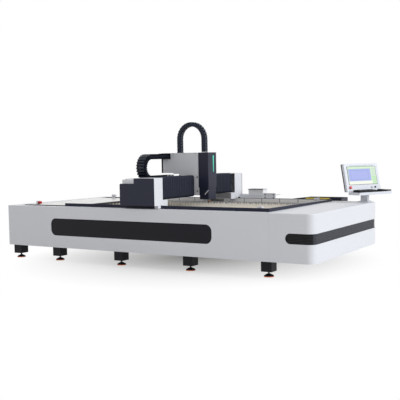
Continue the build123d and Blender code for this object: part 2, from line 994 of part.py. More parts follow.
def make_beam():
    y0 = housing_inner + beam_gap
    y1 = bed_width - y0
    beam = tube_y(beam_left, beam_right, y0, y1, beam_bottom, beam_top, beam_wall)
    for y in (y0, y1 - beam_wall):
        beam += slab(beam_left, beam_right, y, y + beam_wall, beam_bottom, beam_top)
    return beam


parts["gantry_beam"] = make_beam()


# Rail blocks that grip a rail from above
def make_x_block(x):
    y0 = x_rail_y - x_block_width / 2
    block = slab(
        x - block_length / 2, x + block_length / 2, y0, y0 + x_block_width,
        x_block_bottom, foot_box_bottom,
    )
    half = rail_width / 2 + run_gap
    return block - slab(
        x - block_length, x + block_length, x_rail_y - half, x_rail_y + half,
        x_block_bottom - 1, side_beam_top + rail_height + run_gap,
    )


foot_mid = (foot_box_left + foot_box_right) / 2
x_blocks = []
for side in (-1, 1):
    x_blocks.extend(both_sides(make_x_block(foot_mid + side * x_block_spread / 2)))
parts["x_bearing_blocks"] = group(x_blocks)


# End housings: stepped sheet shells, open below and towards the beam
def stepped_outline(inset):
    left = gantry_left + inset
    right = gantry_right - inset
    step = step_x + inset
    return [
        (left, housing_bottom), (right, housing_bottom), (right, housing_top - inset),
        (step, housing_top - inset), (step, housing_step_top - inset), (left, housing_step_top - inset),
    ]


def make_housing(outer, inner):
    lower = [(x, z - 1 if z == housing_bottom else z) for x, z in stepped_outline(sheet)]
    shell = prism_y(stepped_outline(0), outer, inner)
    return shell - prism_y(lower, outer + sheet, inner + 1)


near_housing = make_housing(housing_near, housing_inner)
far_depth = housing_inner - housing_near + far_housing_extra
far_housing = mirrored(make_housing(housing_inner - far_depth, housing_inner))
parts["end_housings"] = group([near_housing, far_housing])


def make_end_panel(y0):
    panel = prism_y(stepped_outline(0), y0, y0 + panel_thickness)
    corners = [
        e for e in panel.edges().filter_by(Axis.Y)
        if e.center().Z > housing_step_top - 1 and abs(e.center().X - step_x) > 1
    ]
    corners += [
        e for e in panel.edges().filter_by(Axis.Y)
        if abs(e.center().X - step_x) < 1 and e.center().Z > housing_step_top + 1
    ]
    return fillet(corners, panel_corner)


near_panel = make_end_panel(housing_near - panel_thickness)
far_panel = mirrored(make_end_panel(housing_inner - far_depth - panel_thickness))
parts["end_panels"] = group([near_panel, far_panel])


# Servo motors with square gearboxes, standing on the feet and on the bridge
def make_motor(x, y, base, size):
    half = size / 2
    box = slab(x - half, x + half, y - half, y + half, base, base + gearbox_height)
    body = extrude(
        Plane.XY.offset(base + gearbox_height) * Pos(x, y) * RectangleRounded(size - 6, size - 6, 12),
        motor_height,
    )
    bore = rod_z(x, y, base - 1, base + gearbox_height / 2, shaft_radius + bore_gap)
    return box + body - bore


parts["x_motors"] = group(both_sides(make_motor(x_motor_x, x_motor_y, foot_box_top, motor_size)))


# Pinions on their shafts, at the racks' pitch lines
def make_x_pinion():
    z0 = side_beam_top + mesh_gap
    wheel = rod_z(x_motor_x, x_motor_y, z0, z0 + pinion_height, pinion_radius - mesh_gap)
    shaft = rod_z(x_motor_x, x_motor_y, z0, foot_box_top + gearbox_height / 2 - 1, shaft_radius)
    return wheel + shaft


parts["x_pinion_near"] = make_x_pinion()
parts["x_pinion_far"] = mirrored(make_x_pinion())


# Cross rails on the beam's face and the rack on its top
def make_y_rail(z):
    return slab(
        beam_right, beam_right + y_rail_protrusion, housing_inner + 10, bed_width - housing_inner - 10,
        z - rail_width / 2, z + rail_width / 2,
    )


y_rack = slab(
    y_rack_x, y_rack_x + rack_width, housing_inner + 10, bed_width - housing_inner - 10,
    beam_top, beam_top + rack_height,
)
parts["y_rails"] = group([make_y_rail(y_rail_low), make_y_rail(y_rail_high), y_rack])


# Tray for the cross drag chain, hung on the beam's back
def make_y_tray():
    floor = slab(tray_left, beam_left, tray_near, tray_far, tray_floor - sheet, tray_floor)
    wall = slab(tray_left, tray_left + sheet, tray_near, tray_far, tray_floor, tray_wall_top)
    hook = slab(beam_left - sheet, beam_left, housing_inner, tray_far, tray_floor - 40, tray_floor)
    seat = slab(
        y_chain_left, y_chain_left + y_chain_width, y_chain_fixed_y - link_pitch, y_chain_fixed_y,
        tray_floor, y_chain_lower - y_chain_thick * 0.5,
    )
    return floor + wall + hook + seat


parts["y_chain_tray"] = make_y_tray()


# Bellows: a pleated channel over the rails, open towards the beam
def bellows_outline(fold):
    front = bellows_front - fold
    top = bellows_top - fold
    bottom = foot_box_top + run_gap + fold
    wall = bellows_wall
    corner = bellows_corner
    return [
        (bellows_back, bottom), (front - corner, bottom), (front, bottom + corner),
        (front, top - corner), (front - corner, top), (bellows_back, top),
        (bellows_back, top - wall), (front - corner - wall / 2, top - wall),
        (front - wall, top - corner - wall / 2), (front - wall, bottom + corner + wall / 2),
        (front - corner - wall / 2, bottom + wall), (bellows_back, bottom + wall),
    ]


def make_bellows(y0, y1):
    pleats = max(2, round((y1 - y0) / bellows_pitch))
    sections = []
    for i in range(2 * pleats + 1):
        y = y0 + (y1 - y0) * i / (2 * pleats)
        fold = bellows_fold if i % 2 == 0 else 0
        outline = make_face(Polyline(*bellows_outline(fold), close=True))
        sections.append(Plane.XZ.offset(-y) * outline)
    return loft(sections, ruled=True)


near_bellows = make_bellows(housing_inner + run_gap, carriage_near + sheet - run_gap)
parts["bellows_near"] = near_bellows
parts["bellows_far"] = mirrored(near_bellows)


# Arm on the gantry's far end: a folded shelf with a junction box on it
def make_chain_arm():
    panel_face = far_housing_outer + panel_thickness
    shelf = slab(
        step_x, arm_right, panel_face, arm_far, arm_bottom, arm_bottom + arm_thickness,
    )
    shelf += slab(
        gantry_right + sheet, arm_right, arm_near, arm_far, arm_bottom, arm_bottom + arm_thickness,
    )
    shelf += slab(
        step_x, gantry_right - panel_corner, panel_face, panel_face + arm_thickness,
        arm_bottom, box_top,
    )
    shelf += slab(
        arm_plate_left, arm_right, arm_near, arm_near + arm_thickness, arm_plate_bottom, arm_plate_top,
    )
    shelf += slab(
        x_chain_end_x - link_pitch, x_chain_end_x, x_chain_near, x_chain_near + x_chain_width,
        x_chain_upper + x_chain_thick / 2, arm_bottom,
    )
    level = arm_bottom + arm_thickness
    shelf += slab(box_left + box_lid, box_right - box_lid, box_near + box_lid, box_far, level, box_top - box_lid)
    shelf += slab(box_left, box_right, box_near, box_far, box_top - box_lid, box_top)
    return shelf


parts["x_chain_arm"] = make_chain_arm()


# Carriage: upright box plate in front of the beam with a bridge over it
def make_carriage_plate():
    y0 = carriage_near + sheet
    y1 = carriage_far - sheet
    tube = slab(plate_back, plate_front, y0, y1, plate_bottom, bridge_top)
    tube -= slab(
        plate_back + plate_wall, plate_front - plate_wall, y0 + plate_side, y1 - plate_side,
        plate_bottom - 1, bridge_top + 1,
    )
    face = slab(plate_front - plate_wall, plate_front, y0, y1, bridge_bottom, carriage_top - sheet)
    face -= slab(
        plate_front - plate_wall - 1, plate_front + 1, mid_y - belt_case_width / 2 - belt_window,
        mid_y + belt_case_width / 2 + belt_window, belt_case_bottom - belt_window, belt_case_top + belt_window,
    )
    bridge = slab(bridge_left, plate_back, y0, y1, bridge_bottom, bridge_top)
    bridge -= rod_z(y_motor_x, mid_y, bridge_bottom - 1, bridge_top + 1, shaft_radius + bore_gap)
    return tube + face + bridge


parts["carriage_plate"] = make_carriage_plate()


def make_y_block(y, z):
    width = x_block_width
    block = slab(
        beam_right + y_rail_protrusion / 3, plate_back, y - block_length / 2, y + block_length / 2,
        z - width / 2, z + width / 2,
    )
    half = rail_width / 2 + run_gap
    return block - slab(
        beam_right, beam_right + y_rail_protrusion + run_gap, y - block_length, y + block_length,
        z - half, z + half,
    )


y_blocks = []
for z in (y_rail_low, y_rail_high):
    for side in (-1, 1):
        y_blocks.append(make_y_block(mid_y + side * y_block_spread / 2, z))
parts["y_bearing_blocks"] = group(y_blocks)


# Carriage housing: sheet shell with a stepped lower edge, open below
def carriage_outline(inset):
    left = carriage_left + inset
    right = plate_front - plate_wall
    drop = 0 if inset == 0 else 2 * sheet
    return [
        (left, carriage_high - drop), (carriage_step, carriage_high - drop),
        (carriage_step, carriage_low - drop), (right + inset, carriage_low - drop),
        (right + inset, carriage_top - inset), (left, carriage_top - inset),
    ]


def make_carriage_housing():
    shell = prism_y(carriage_outline(0), carriage_near, carriage_far)
    return shell - prism_y(carriage_outline(sheet), carriage_near + sheet, carriage_far - sheet)


parts["carriage_housing"] = make_carriage_housing()

# Black bracket of the cross chain's moving end and two knobs on the plate's edge
knob_places = [(plate_front - plate_wall, z) for z in (plate_bottom + 60, bridge_bottom - 45)]
bracket = slab(
    y_chain_left - 6, y_chain_left + y_chain_width + 6, carriage_near - link_pitch * 1.5, carriage_near,
    y_chain_upper + y_chain_thick / 2, y_chain_upper + y_chain_thick / 2 + 5,
)
bracket += slab(
    y_chain_left - 6, y_chain_left + y_chain_width + 6, carriage_near - 2, carriage_near,
    y_chain_upper - y_chain_thick / 2 - 6, y_chain_upper + y_chain_thick / 2 + 5,
)
knobs = [rod_y(x, carriage_near + sheet - knob_length, carriage_near + sheet, z, knob_radius) for x, z in knob_places]
parts["chain_bracket"] = group([bracket] + knobs)

parts["y_motor"] = make_motor(y_motor_x, mid_y, bridge_top, motor_size - 6)


def make_y_pinion():
    z0 = beam_top + mesh_gap
    wheel = rod_z(y_motor_x, mid_y, z0, z0 + pinion_height, pinion_radius - mesh_gap)
    shaft = rod_z(y_motor_x, mid_y, z0, bridge_top + gearbox_height / 2 - 1, shaft_radius)
    return wheel + shaft


parts["y_pinion"] = make_y_pinion()


# Lifting housing: narrow sheet shell, open below, with a slot on top
def make_z_housing():
    shell = slab(plate_front, z_house_right, carriage_near, carriage_far, z_house_bottom, carriage_top)
    shell -= slab(
        plate_front - 1, z_house_right - sheet, carriage_near + sheet, carriage_far - sheet,
        z_house_bottom - 1, carriage_top - sheet,
    )
    slot_half = z_chain_width / 2 + 3
    return shell - slab(
        plate_front - 1, z_chain_right + 4, mid_y - slot_half, mid_y + slot_half,
        carriage_top - 2 * sheet, carriage_top + 1,
    )


parts["z_housing"] = make_z_housing()
parts["light_strip"] = slab(
    z_house_right, z_house_right + strip_thickness, mid_y + strip_y - strip_width / 2,
    mid_y + strip_y + strip_width / 2, strip_bottom, strip_top,
)


def make_z_rail(y):
    return slab(
        plate_front, plate_front + z_rail_protrusion, y - z_rail_width / 2, y + z_rail_width / 2,
        z_rail_bottom, z_rail_top,
    )


parts["z_rails"] = group([make_z_rail(mid_y + side * z_rail_spread / 2) for side in (-1, 1)])


# Lifting motor behind the plate, with a flat belt case over the plate's top
def make_z_motor():
    right = plate_front - plate_wall
    body = slab(right - 66, right, mid_y - 33, mid_y + 33, belt_case_bottom - 190, belt_case_bottom)
    half = belt_case_width / 2
    case = slab(right - 66, screw_x + 20, mid_y - half, mid_y + half, belt_case_bottom, belt_case_top)
    return body + case


parts["z_motor"] = make_z_motor()
parts["z_screw"] = rod_z(screw_x, mid_y, screw_bottom, screw_top - mesh_gap, screw_radius)


# Slide: plate with rail blocks, a nut on the screw and a mast for the chain
def make_z_slide():
    front = slide_back + slide_thickness
    y0 = mid_y - slide_width / 2
    slide = slab(slide_back, front, y0, y0 + slide_width, slide_bottom, slide_top)
    block_bottom = z_rail_bottom + 40
    for side in (-1, 1):
        y = mid_y + side * z_rail_spread / 2
        block = slab(
            slide_back - slide_block_depth, slide_back, y - 18, y + 18, block_bottom, slide_top - 10,
        )
        half = z_rail_width / 2 + run_gap
        block -= slab(
            plate_front, plate_front + z_rail_protrusion + run_gap, y - half, y + half,
            block_bottom - 1, slide_top,
        )
        slide += block
    nut = slab(screw_x - 16, slide_back, mid_y - 20, mid_y + 20, block_bottom + 20, block_bottom + 90)
    slide += nut - rod_z(screw_x, mid_y, block_bottom, slide_top, screw_radius + bore_gap)
    slide += slab(slide_back, front, mid_y - mast_width / 2, mid_y + mast_width / 2, slide_top, chain_seat_top)
    slide += slab(
        z_chain_right - z_chain_thick, front + 1, mid_y - z_chain_width / 2, mid_y + z_chain_width / 2,
        chain_seat_top - chain_seat_thickness, chain_seat_top,
    )
    return slide


parts["z_slide"] = make_z_slide()


# Shroud round the cutting head: chamfered box, open below, closed above
def make_shroud():
    y0 = mid_y - shroud_width / 2
    y1 = y0 + shroud_width
    shroud = slab(shroud_back, shroud_right, y0, y1, shroud_bottom, shroud_top)
    shroud -= slab(
        shroud_back + sheet, shroud_right - sheet, y0 + sheet, y1 - sheet, shroud_bottom - 1, shroud_top - sheet,
    )
    edges = shroud.edges().filter_by(Axis.Z).filter_by(
        lambda e: e.center().X > shroud_right - 1 or e.center().X < shroud_back + 1
    )
    shroud = chamfer(edges, sheet - 0.5)
    front = slide_back + slide_thickness
    passage = slab(slide_back, front, mid_y - slide_width / 2, mid_y + slide_width / 2, slide_bottom, shroud_top + 1)
    passage += slab(front, front + head_depth, mid_y - head_width / 2, mid_y + head_width / 2, slide_bottom, shroud_top + 1)
    return shroud - passage


parts["head_shroud"] = make_shroud()


# Cutting head: rectangular body, turned barrel and cone
def make_cutting_head():
    front = slide_back + slide_thickness
    x = front + head_depth / 2
    body = slab(front, front + head_depth, mid_y - head_width / 2, mid_y + head_width / 2, head_body_bottom, head_top)
    body = chamfer(body.edges().filter_by(Axis.Z), 8)
    profile = Polyline(
        (0, head_body_bottom), (head_barrel_radius, head_body_bottom),
        (head_barrel_radius, head_barrel_bottom), (head_barrel_radius - 8, head_barrel_bottom - 6),
        (head_cone_radius, head_cone_bottom), (0, head_cone_bottom), close=True,
    )
    return body + Pos(x, mid_y, 0) * revolve(Plane.XZ * make_face(profile), Axis.Z)


parts["cutting_head"] = make_cutting_head()


def make_nozzle():
    x = slide_back + slide_thickness + head_depth / 2
    neck = head_cone_bottom - 7
    profile = Polyline(
        (2, head_cone_bottom), (nozzle_radius, head_cone_bottom), (nozzle_radius, neck),
        (nozzle_tip_radius, nozzle_tip), (2, nozzle_tip), close=True,
    )
    return Pos(x, mid_y, 0) * revolve(Plane.XZ * make_face(profile), Axis.Z)


parts["nozzle"] = make_nozzle()


# Console post on the end cover
def make_post():
    plinth_top = cover_top + plinth_height
    half = plinth_size / 2
    post = slab(post_x - half, post_x + half, post_y - half, post_y + half, cover_top, plinth_top)
    x0 = post_x - post_wide / 2
    y0 = post_y - post_deep / 2
    post += tube_z(x0, x0 + post_wide, y0, y0 + post_deep, plinth_top, post_top, post_wall)
    return post + slab(x0, x0 + post_wide, y0, y0 + post_deep, post_top - post_wall, post_top)


parts["console_post"] = make_post()

# Console pieces are drawn facing +X about the post's axis, then turned
turned = Pos(post_x, post_y, 0) * Rot(0, 0, -console_turn)
tray_bottom = post_top + run_gap + swivel_height
tray_top = tray_bottom + tray_height


def make_console_tray():
    half = console_width / 2
    tray = slab(0, tray_depth, -half, half, tray_bottom, tray_top)
    tray = chamfer(tray.edges().filter_by(Axis.Z).sort_by(Axis.X)[-2:], 10)
    pocket = slab(12, tray_depth - 10, -half + 10, half - 10, tray_top - tray_lip, tray_top + 1)
    floor = tray_top - tray_lip - sheet
    underside = slab(sheet, tray_depth - sheet, -half + sheet, half - sheet, tray_bottom - 1, floor)
    rear = slab(-monitor_depth, sheet, -half * 0.6, half * 0.6, tray_bottom, tray_top)
    rear -= slab(-monitor_depth + sheet, sheet + 1, -half * 0.6 + sheet, half * 0.6 - sheet, tray_bottom - 1, floor)
    hub = rod_z(0, 0, post_top + run_gap, floor, swivel_radius)
    return tray - pocket - underside + rear + hub


parts["console_tray"] = turned * make_console_tray()

# The monitor leans back about its lower front edge
lean = Pos(0, 0, tray_top) * Rot(0, -monitor_tilt, 0)
screen_z = monitor_height - screen_top_margin - screen_height / 2
stop_button_y = -console_width / 2 + 46
stop_button_z = 62.0
push_button_y = 150.0
key_switch_y = 214.0
switch_z = 54.0
button_hole_depth = 30.0


def make_monitor():
    half = console_width / 2
    body = slab(-monitor_depth, 0, -half, half, -monitor_depth, monitor_height)
    body = fillet(body.edges().filter_by(Axis.Z), monitor_corner)
    body = fillet(body.faces().sort_by(Axis.Z)[-1].edges(), 4)
    body -= slab(
        -screen_recess - screen_thickness, 1, -screen_width / 2, screen_width / 2,
        screen_z - screen_height / 2, screen_z + screen_height / 2,
    )
    holes = (
        (stop_button_y, stop_button_z, stop_stem_radius),
        (push_button_y, switch_z, small_button_radius),
        (key_switch_y, switch_z, small_button_radius),
    )
    for y, z, radius in holes:
        body -= rod_x(-button_hole_depth, 1, y, z, radius + bore_gap)
    body = lean * body
    return body - slab(
        -3 * monitor_depth, monitor_depth, -half - 1, half + 1, tray_top - 2 * monitor_depth, tray_top,
    )


parts["monitor_housing"] = turned * make_monitor()
parts["monitor_screen"] = turned * lean * slab(
    -screen_recess - screen_thickness, -screen_recess, -screen_width / 2, screen_width / 2,
    screen_z - screen_height / 2, screen_z + screen_height / 2,
)


# Mushroom stop button: domed head on a stem that runs in the housing
def make_stop_button():
    stand = stop_press + 1
    profile = Polyline(
        (0, -button_hole_depth + stop_press + 2), (stop_stem_radius, -button_hole_depth + stop_press + 2),
        (stop_stem_radius, stand), (stop_button_radius, stand),
        (stop_button_radius, stand + stop_button_depth * 0.6),
        (stop_button_radius * 0.72, stand + stop_button_depth), (0, stand + stop_button_depth), close=True,
    )
    button = revolve(Plane.XZ * make_face(profile), Axis.Z)
    return Pos(0, stop_button_y, stop_button_z) * Rot(0, 90, 0) * button


parts["stop_button"] = turned * lean * make_stop_button()


def make_push_button():
    return rod_x(
        -button_hole_depth + small_press + 2, small_button_depth, push_button_y, switch_z, small_button_radius,
    )


parts["push_button"] = turned * lean * make_push_button()


# Turn switch: round stem with a raised grip bar
def make_turn_switch():
    stem = rod_x(-button_hole_depth + 2, small_button_depth, key_switch_y, switch_z, small_button_radius)
    grip = slab(
        small_button_depth, small_button_depth + 10, key_switch_y - 3, key_switch_y + 3,
        switch_z - small_button_radius + 1, switch_z + small_button_radius - 1,
    )
    return stem + grip


parts["turn_switch"] = turned * lean * make_turn_switch()


# Keyboard: wedge with rows of keys on its sloping top
def make_keyboard():
    floor = tray_top - tray_lip
    x0 = 34.0
    rise = keyboard_height * 0.35
    y0 = -console_width / 2 + 52
    wedge = prism_y([
        (x0, floor), (x0 + keyboard_depth, floor), (x0 + keyboard_depth, floor + keyboard_height - rise),
        (x0, floor + keyboard_height),
    ], y0, y0 + keyboard_width)
    slope = radians(90) - (pi / 2 - rise / keyboard_depth)
    seat = Pos(x0, 0, floor + keyboard_height) * Rot(0, slope * 180 / pi, 0)
    pitch_x = (keyboard_depth - 12) / key_rows
    pitch_y = (keyboard_width - 12) / key_columns
    keys = []
    for row in range(key_rows):
        for column in range(key_columns):
            xa = 6 + pitch_x * row + 1.5
            ya = y0 + 6 + pitch_y * column + 1.5
            keys.append(seat * slab(xa, xa + pitch_x - 3, ya, ya + pitch_y - 3, 0, key_height))
    return [wedge] + keys


parts["keyboard"] = group([turned * piece for piece in make_keyboard()])


# Mouse: low dome
def make_mouse():
    floor = tray_top - tray_lip
    body = Pos(98, 205, floor + mouse_height / 2) * Box(mouse_length, mouse_width, mouse_height)
    body = fillet(body.edges().filter_by(Axis.Z), mouse_width * 0.4)
    return chamfer(body.faces().sort_by(Axis.Z)[-1].edges(), mouse_height * 0.35)


parts["mouse"] = turned * make_mouse()


# Origin at the centre of the footprint, on the floor
def footprint_centre(shapes):
    boxes = [shape.bounding_box() for shape in shapes]
    x = (min(b.min.X for b in boxes) + max(b.max.X for b in boxes)) / 2
    y = (min(b.min.Y for b in boxes) + max(b.max.Y for b in boxes)) / 2
    return x, y


origin_x, origin_y = footprint_centre(parts.values())
print("origin", round(origin_x, 4), round(origin_y, 4))
os.makedirs("parts", exist_ok=True)
for name, shape in parts.items():
    placed = [Pos(-origin_x, -origin_y, 0) * solid for solid in shape.solids()]
    piece = placed[0] if len(placed) == 1 else Compound(children=placed)
    export_step(piece, "parts/" + name + ".step")
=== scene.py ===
import json
import math

import bmesh
import bpy
from bpy.props import FloatProperty, FloatVectorProperty, PointerProperty
from mathutils import Matrix, Vector
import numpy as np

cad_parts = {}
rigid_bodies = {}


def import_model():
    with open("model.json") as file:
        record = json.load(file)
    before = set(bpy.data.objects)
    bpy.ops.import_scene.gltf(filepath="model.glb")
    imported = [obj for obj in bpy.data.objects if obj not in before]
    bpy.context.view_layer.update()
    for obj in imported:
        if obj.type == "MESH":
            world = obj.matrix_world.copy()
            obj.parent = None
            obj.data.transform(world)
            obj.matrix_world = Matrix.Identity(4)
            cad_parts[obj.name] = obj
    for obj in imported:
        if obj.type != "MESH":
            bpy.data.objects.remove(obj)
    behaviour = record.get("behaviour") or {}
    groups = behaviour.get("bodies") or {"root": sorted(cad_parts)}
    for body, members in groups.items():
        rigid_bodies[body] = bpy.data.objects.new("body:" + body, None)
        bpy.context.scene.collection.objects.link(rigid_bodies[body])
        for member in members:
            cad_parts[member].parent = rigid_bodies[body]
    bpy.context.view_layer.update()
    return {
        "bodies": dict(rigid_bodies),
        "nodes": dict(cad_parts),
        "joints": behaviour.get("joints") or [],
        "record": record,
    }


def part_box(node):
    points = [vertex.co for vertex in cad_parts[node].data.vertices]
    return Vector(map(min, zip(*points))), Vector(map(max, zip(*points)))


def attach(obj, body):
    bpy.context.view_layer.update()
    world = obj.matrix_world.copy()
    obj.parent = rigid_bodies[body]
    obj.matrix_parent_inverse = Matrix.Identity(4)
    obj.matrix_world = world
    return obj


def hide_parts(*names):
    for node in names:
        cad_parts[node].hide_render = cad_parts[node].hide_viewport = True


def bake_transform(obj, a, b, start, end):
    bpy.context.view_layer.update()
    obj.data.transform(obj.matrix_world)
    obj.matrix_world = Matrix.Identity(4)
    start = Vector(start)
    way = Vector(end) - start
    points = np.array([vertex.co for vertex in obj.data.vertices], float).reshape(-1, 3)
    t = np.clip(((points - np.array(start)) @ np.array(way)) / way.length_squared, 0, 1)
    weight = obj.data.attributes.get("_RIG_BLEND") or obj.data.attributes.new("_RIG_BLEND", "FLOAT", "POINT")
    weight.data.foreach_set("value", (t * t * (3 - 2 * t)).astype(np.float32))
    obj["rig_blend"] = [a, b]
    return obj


bl_info = {
    "name": "Laser cutting machine finish",
    "version": (1, 0, 0),
    "blender": (4, 5, 0),
    "location": "View3D > Sidebar > Cutter",
    "description": "Paints the machine and adds bellows, drag chains, screws and the screen",
    "category": "Object",
}

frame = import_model()
NODES = frame["nodes"]
RECORD = frame["record"]
SLOTS = {row["node"]: row["material_slot"] for row in RECORD["subparts"]}
BODIES = {node: body for body, nodes in RECORD["behaviour"]["bodies"].items() for node in nodes}
NODE_FINISHES = {
    "table_rim": "rim_two_tone", "x_chain_arm": "arm_white", "carriage_plate": "cover_grey",
    "monitor_housing": "monitor_shell", "front_inset_panel": "leg_black",
}
FINISHES = {}


# Shader helpers
def linear(colour):
    """Display colour to the linear values that a shader wants."""
    return [c / 12.92 if c <= 0.04045 else ((c + 0.055) / 1.055) ** 2.4 for c in colour]


def shade(colour, factor):
    return [min(1.0, c * factor) for c in colour]


def sign(operation, swapped=False):
    """Method of Value for one arithmetic sign."""
    def apply(self, other):
        return self.maths(operation, *((other, self) if swapped else (self, other)))
    return apply


class Value:
    """A number on the surface that takes part in Python arithmetic."""

    def __init__(self, finish, socket):
        self.finish = finish
        self.socket = socket

    def maths(self, operation, *terms, clamp=False):
        settings = {"operation": operation, "use_clamp": clamp}
        return self.finish.node("ShaderNodeMath", settings, dict(enumerate(terms)))

    __add__, __radd__ = sign("ADD"), sign("ADD", swapped=True)
    __sub__, __rsub__ = sign("SUBTRACT"), sign("SUBTRACT", swapped=True)
    __mul__, __truediv__ = sign("MULTIPLY"), sign("DIVIDE")
    above, below = sign("GREATER_THAN"), sign("LESS_THAN")

    def clamped(self):
        return self.maths("ADD", self, 0.0, clamp=True)

    def fract(self):
        return self.maths("FRACT", self)

    def distance(self, other):
        return self.maths("ABSOLUTE", self - other)


class Finish:
    """A node material on one Principled shader."""

    def __init__(self, name, **constants):
        self.material = bpy.data.materials.new(name)
        self.material.use_nodes = True
        self.tree = self.material.node_tree
        self.tree.nodes.clear()
        self.output = self.tree.nodes.new("ShaderNodeOutputMaterial")
        self.shader = self.tree.nodes.new("ShaderNodeBsdfPrincipled")
        self.tree.links.new(self.shader.outputs[0], self.output.inputs["Surface"])
        for socket, value in constants.items():
            self.shader.inputs[socket.replace("_", " ")].default_value = value

    def node(self, kind, settings=None, sockets=None, out=0):
        made = self.tree.nodes.new(kind)
        for name, value in (settings or {}).items():
            setattr(made, name, value)
        for name, value in (sockets or {}).items():
            self.put(made.inputs[name], value)
        return Value(self, made.outputs[out])

    def put(self, socket, value):
        if isinstance(value, Value):
            self.tree.links.new(value.socket, socket)
        else:
            socket.default_value = value

    def place(self, stretch=(1, 1, 1)):
        spot = self.node("ShaderNodeTexCoord", out="Object")
        return self.node("ShaderNodeMapping", None, {"Vector": spot, "Scale": stretch})

    def axes(self, spot):
        split = self.node("ShaderNodeSeparateXYZ", None, {0: spot})
        outputs = split.socket.node.outputs
        return [Value(self, outputs[i]) for i in range(3)]

    def facing(self):
        return self.axes(self.node("ShaderNodeNewGeometry", out="Normal"))

    def noise(self, spot, scale, detail):
        return self.node("ShaderNodeTexNoise", None, {"Vector": spot, "Scale": scale, "Detail": detail})

    def bands(self, spot, direction, scale):
        settings = {"wave_type": "BANDS", "bands_direction": direction}
        return self.node("ShaderNodeTexWave", settings, {"Vector": spot, "Scale": scale})

    def mix(self, share, low, high):
        """Colour that goes from low to high; either is a display colour or a colour value."""
        low, high = (c if isinstance(c, Value) else (*linear(c), 1) for c in (low, high))
        settings = {"data_type": "RGBA"}
        return self.node("ShaderNodeMix", settings, {0: share, 6: low, 7: high}, out=2)

    def surface(self, colour, rough=None, height=None, depth=0.001):
        self.put(self.shader.inputs["Base Color"], colour)
        if rough is not None:
            self.put(self.shader.inputs["Roughness"], rough)
        if height is not None:
            bump = self.node("ShaderNodeBump", None, {"Height": height, "Distance": depth, "Strength": 1.0})
            self.put(self.shader.inputs["Normal"], bump)
        return self.material


# Finishes
DUST = (0.62, 0.60, 0.57)
BROWNED_STEEL = (0.62, 0.55, 0.47)
SPATTER = (0.30, 0.26, 0.23)
# blue-grey of the painted reflection on the polished deck
DECK_PAINTED_REFLECTION = (0.62, 0.64, 0.70)
# paler blue of the painted highlight on the bellows' crests
CREST_HIGHLIGHT = (0.20, 0.22, 0.28)


def powder_coat(name, colour, rough=0.42, mottle=0.05, dust=0.0, shine=0.45, second=None):
    """Sprayed paint; second(coat, spot) gives a share and a colour laid over the first."""
    coat = Finish(name, Specular_IOR_Level=shine)
    spot = coat.place()
    cloud = coat.noise(spot, 1.1, 3)
    grain = coat.noise(spot, 45, 3)
    peel = coat.noise(spot, 620, 1)
    tone = coat.mix(cloud * 0.7 + grain * 0.3, shade(colour, 1 - mottle), shade(colour, 1 + mottle))
    if dust:
        up = coat.facing()[2].above(0.8)
        settle = (coat.noise(spot, 6, 4) * 2.2 - 0.75).clamped()
        tone = coat.mix(up * settle * dust, tone, DUST)
    if second:
        share, over = second(coat, spot)
        tone = coat.mix(share, tone, over)
    return coat.surface(tone, rough - 0.06 + grain * 0.12, peel, 0.00012)


def cream_inside(cream, seams_per_metre=3.4, seam_share=0.035, lip=0.006):
    """Rim paint: cream on the faces that look at the table, with seams between its sheets."""
    def second(coat, spot):
        across, along, _ = coat.facing()
        x, y, z = coat.axes(spot)
        inward = (along * y).below(-0.3) + (across * x).below(-0.3)
        seam = (x * seams_per_metre).fract().below(seam_share)
        lower = z.below(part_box("table_rim")[1].z - lip)
        return inward.clamped() * lower * (1.0 - seam * 0.8), cream
    return second


def shaded_front_band(dark):
    """Band paint: faces that look to the operator's side are nearly black, painted shade on the band's front.
    """
    def second(coat, spot):
        return coat.facing()[1].below(-0.6), shade(dark, 0.5)
    return second


def pale_stops(pale):
    """Frame paint: the end stops that stand over the rails are as pale as the covers."""
    def second(coat, spot):
        return coat.axes(spot)[2].above(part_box("x_rails")[1].z + 0.02), pale
    return second


def arm_greys(lid, body, start=0.45, end=0.71, foot=0.062, lid_thickness=0.0085):
    """Arm paint: a dark lid and grey walls on the junction box, which stands from start to end."""
    def second(coat, spot):
        x, y, z = coat.axes(spot)
        low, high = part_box("x_chain_arm")
        inside = y.below(high.y - 0.02) * y.above(low.y + 0.012) * z.above(low.z + foot)
        box = inside * x.above(low.x + start) * x.below(low.x + end)
        return box, coat.mix(z.above(high.z - lid_thickness), body, lid)
    return second


def dark_back_and_side_shade(axis, depth, dark):
    """Housing paint: the shell behind the front bezel is dark; this dark back also stands in as painted shade
    on the monitor's side.
    """
    def second(coat, spot):
        settings = {"operation": "DOT_PRODUCT"}
        ahead = coat.node("ShaderNodeVectorMath", settings, {0: spot, 1: axis}, out="Value")
        return ahead.below(depth), dark
    return second


def worked_metal(name, colour, rough=0.3, stretch=(2, 400, 400), painted_reflection=None, metallic=1.0):
    metal = Finish(name, Metallic=metallic)
    spot = metal.place()
    streak = metal.noise(metal.place(stretch), 1.0, 3)
    cloud = metal.noise(spot, 3.0, 3)
    tone = metal.mix(streak * 0.6 + cloud * 0.4, shade(colour, 0.86), shade(colour, 1.08))
    # blue-grey patches laid over the metal: painted reflection
    if painted_reflection:
        patch = (metal.noise(spot, 9, 5) * 3.0 - 1.45).clamped()
        tone = metal.mix(patch * 0.7, tone, painted_reflection)
    return metal.surface(tone, rough - 0.08 + streak * 0.16, streak, 0.00006)


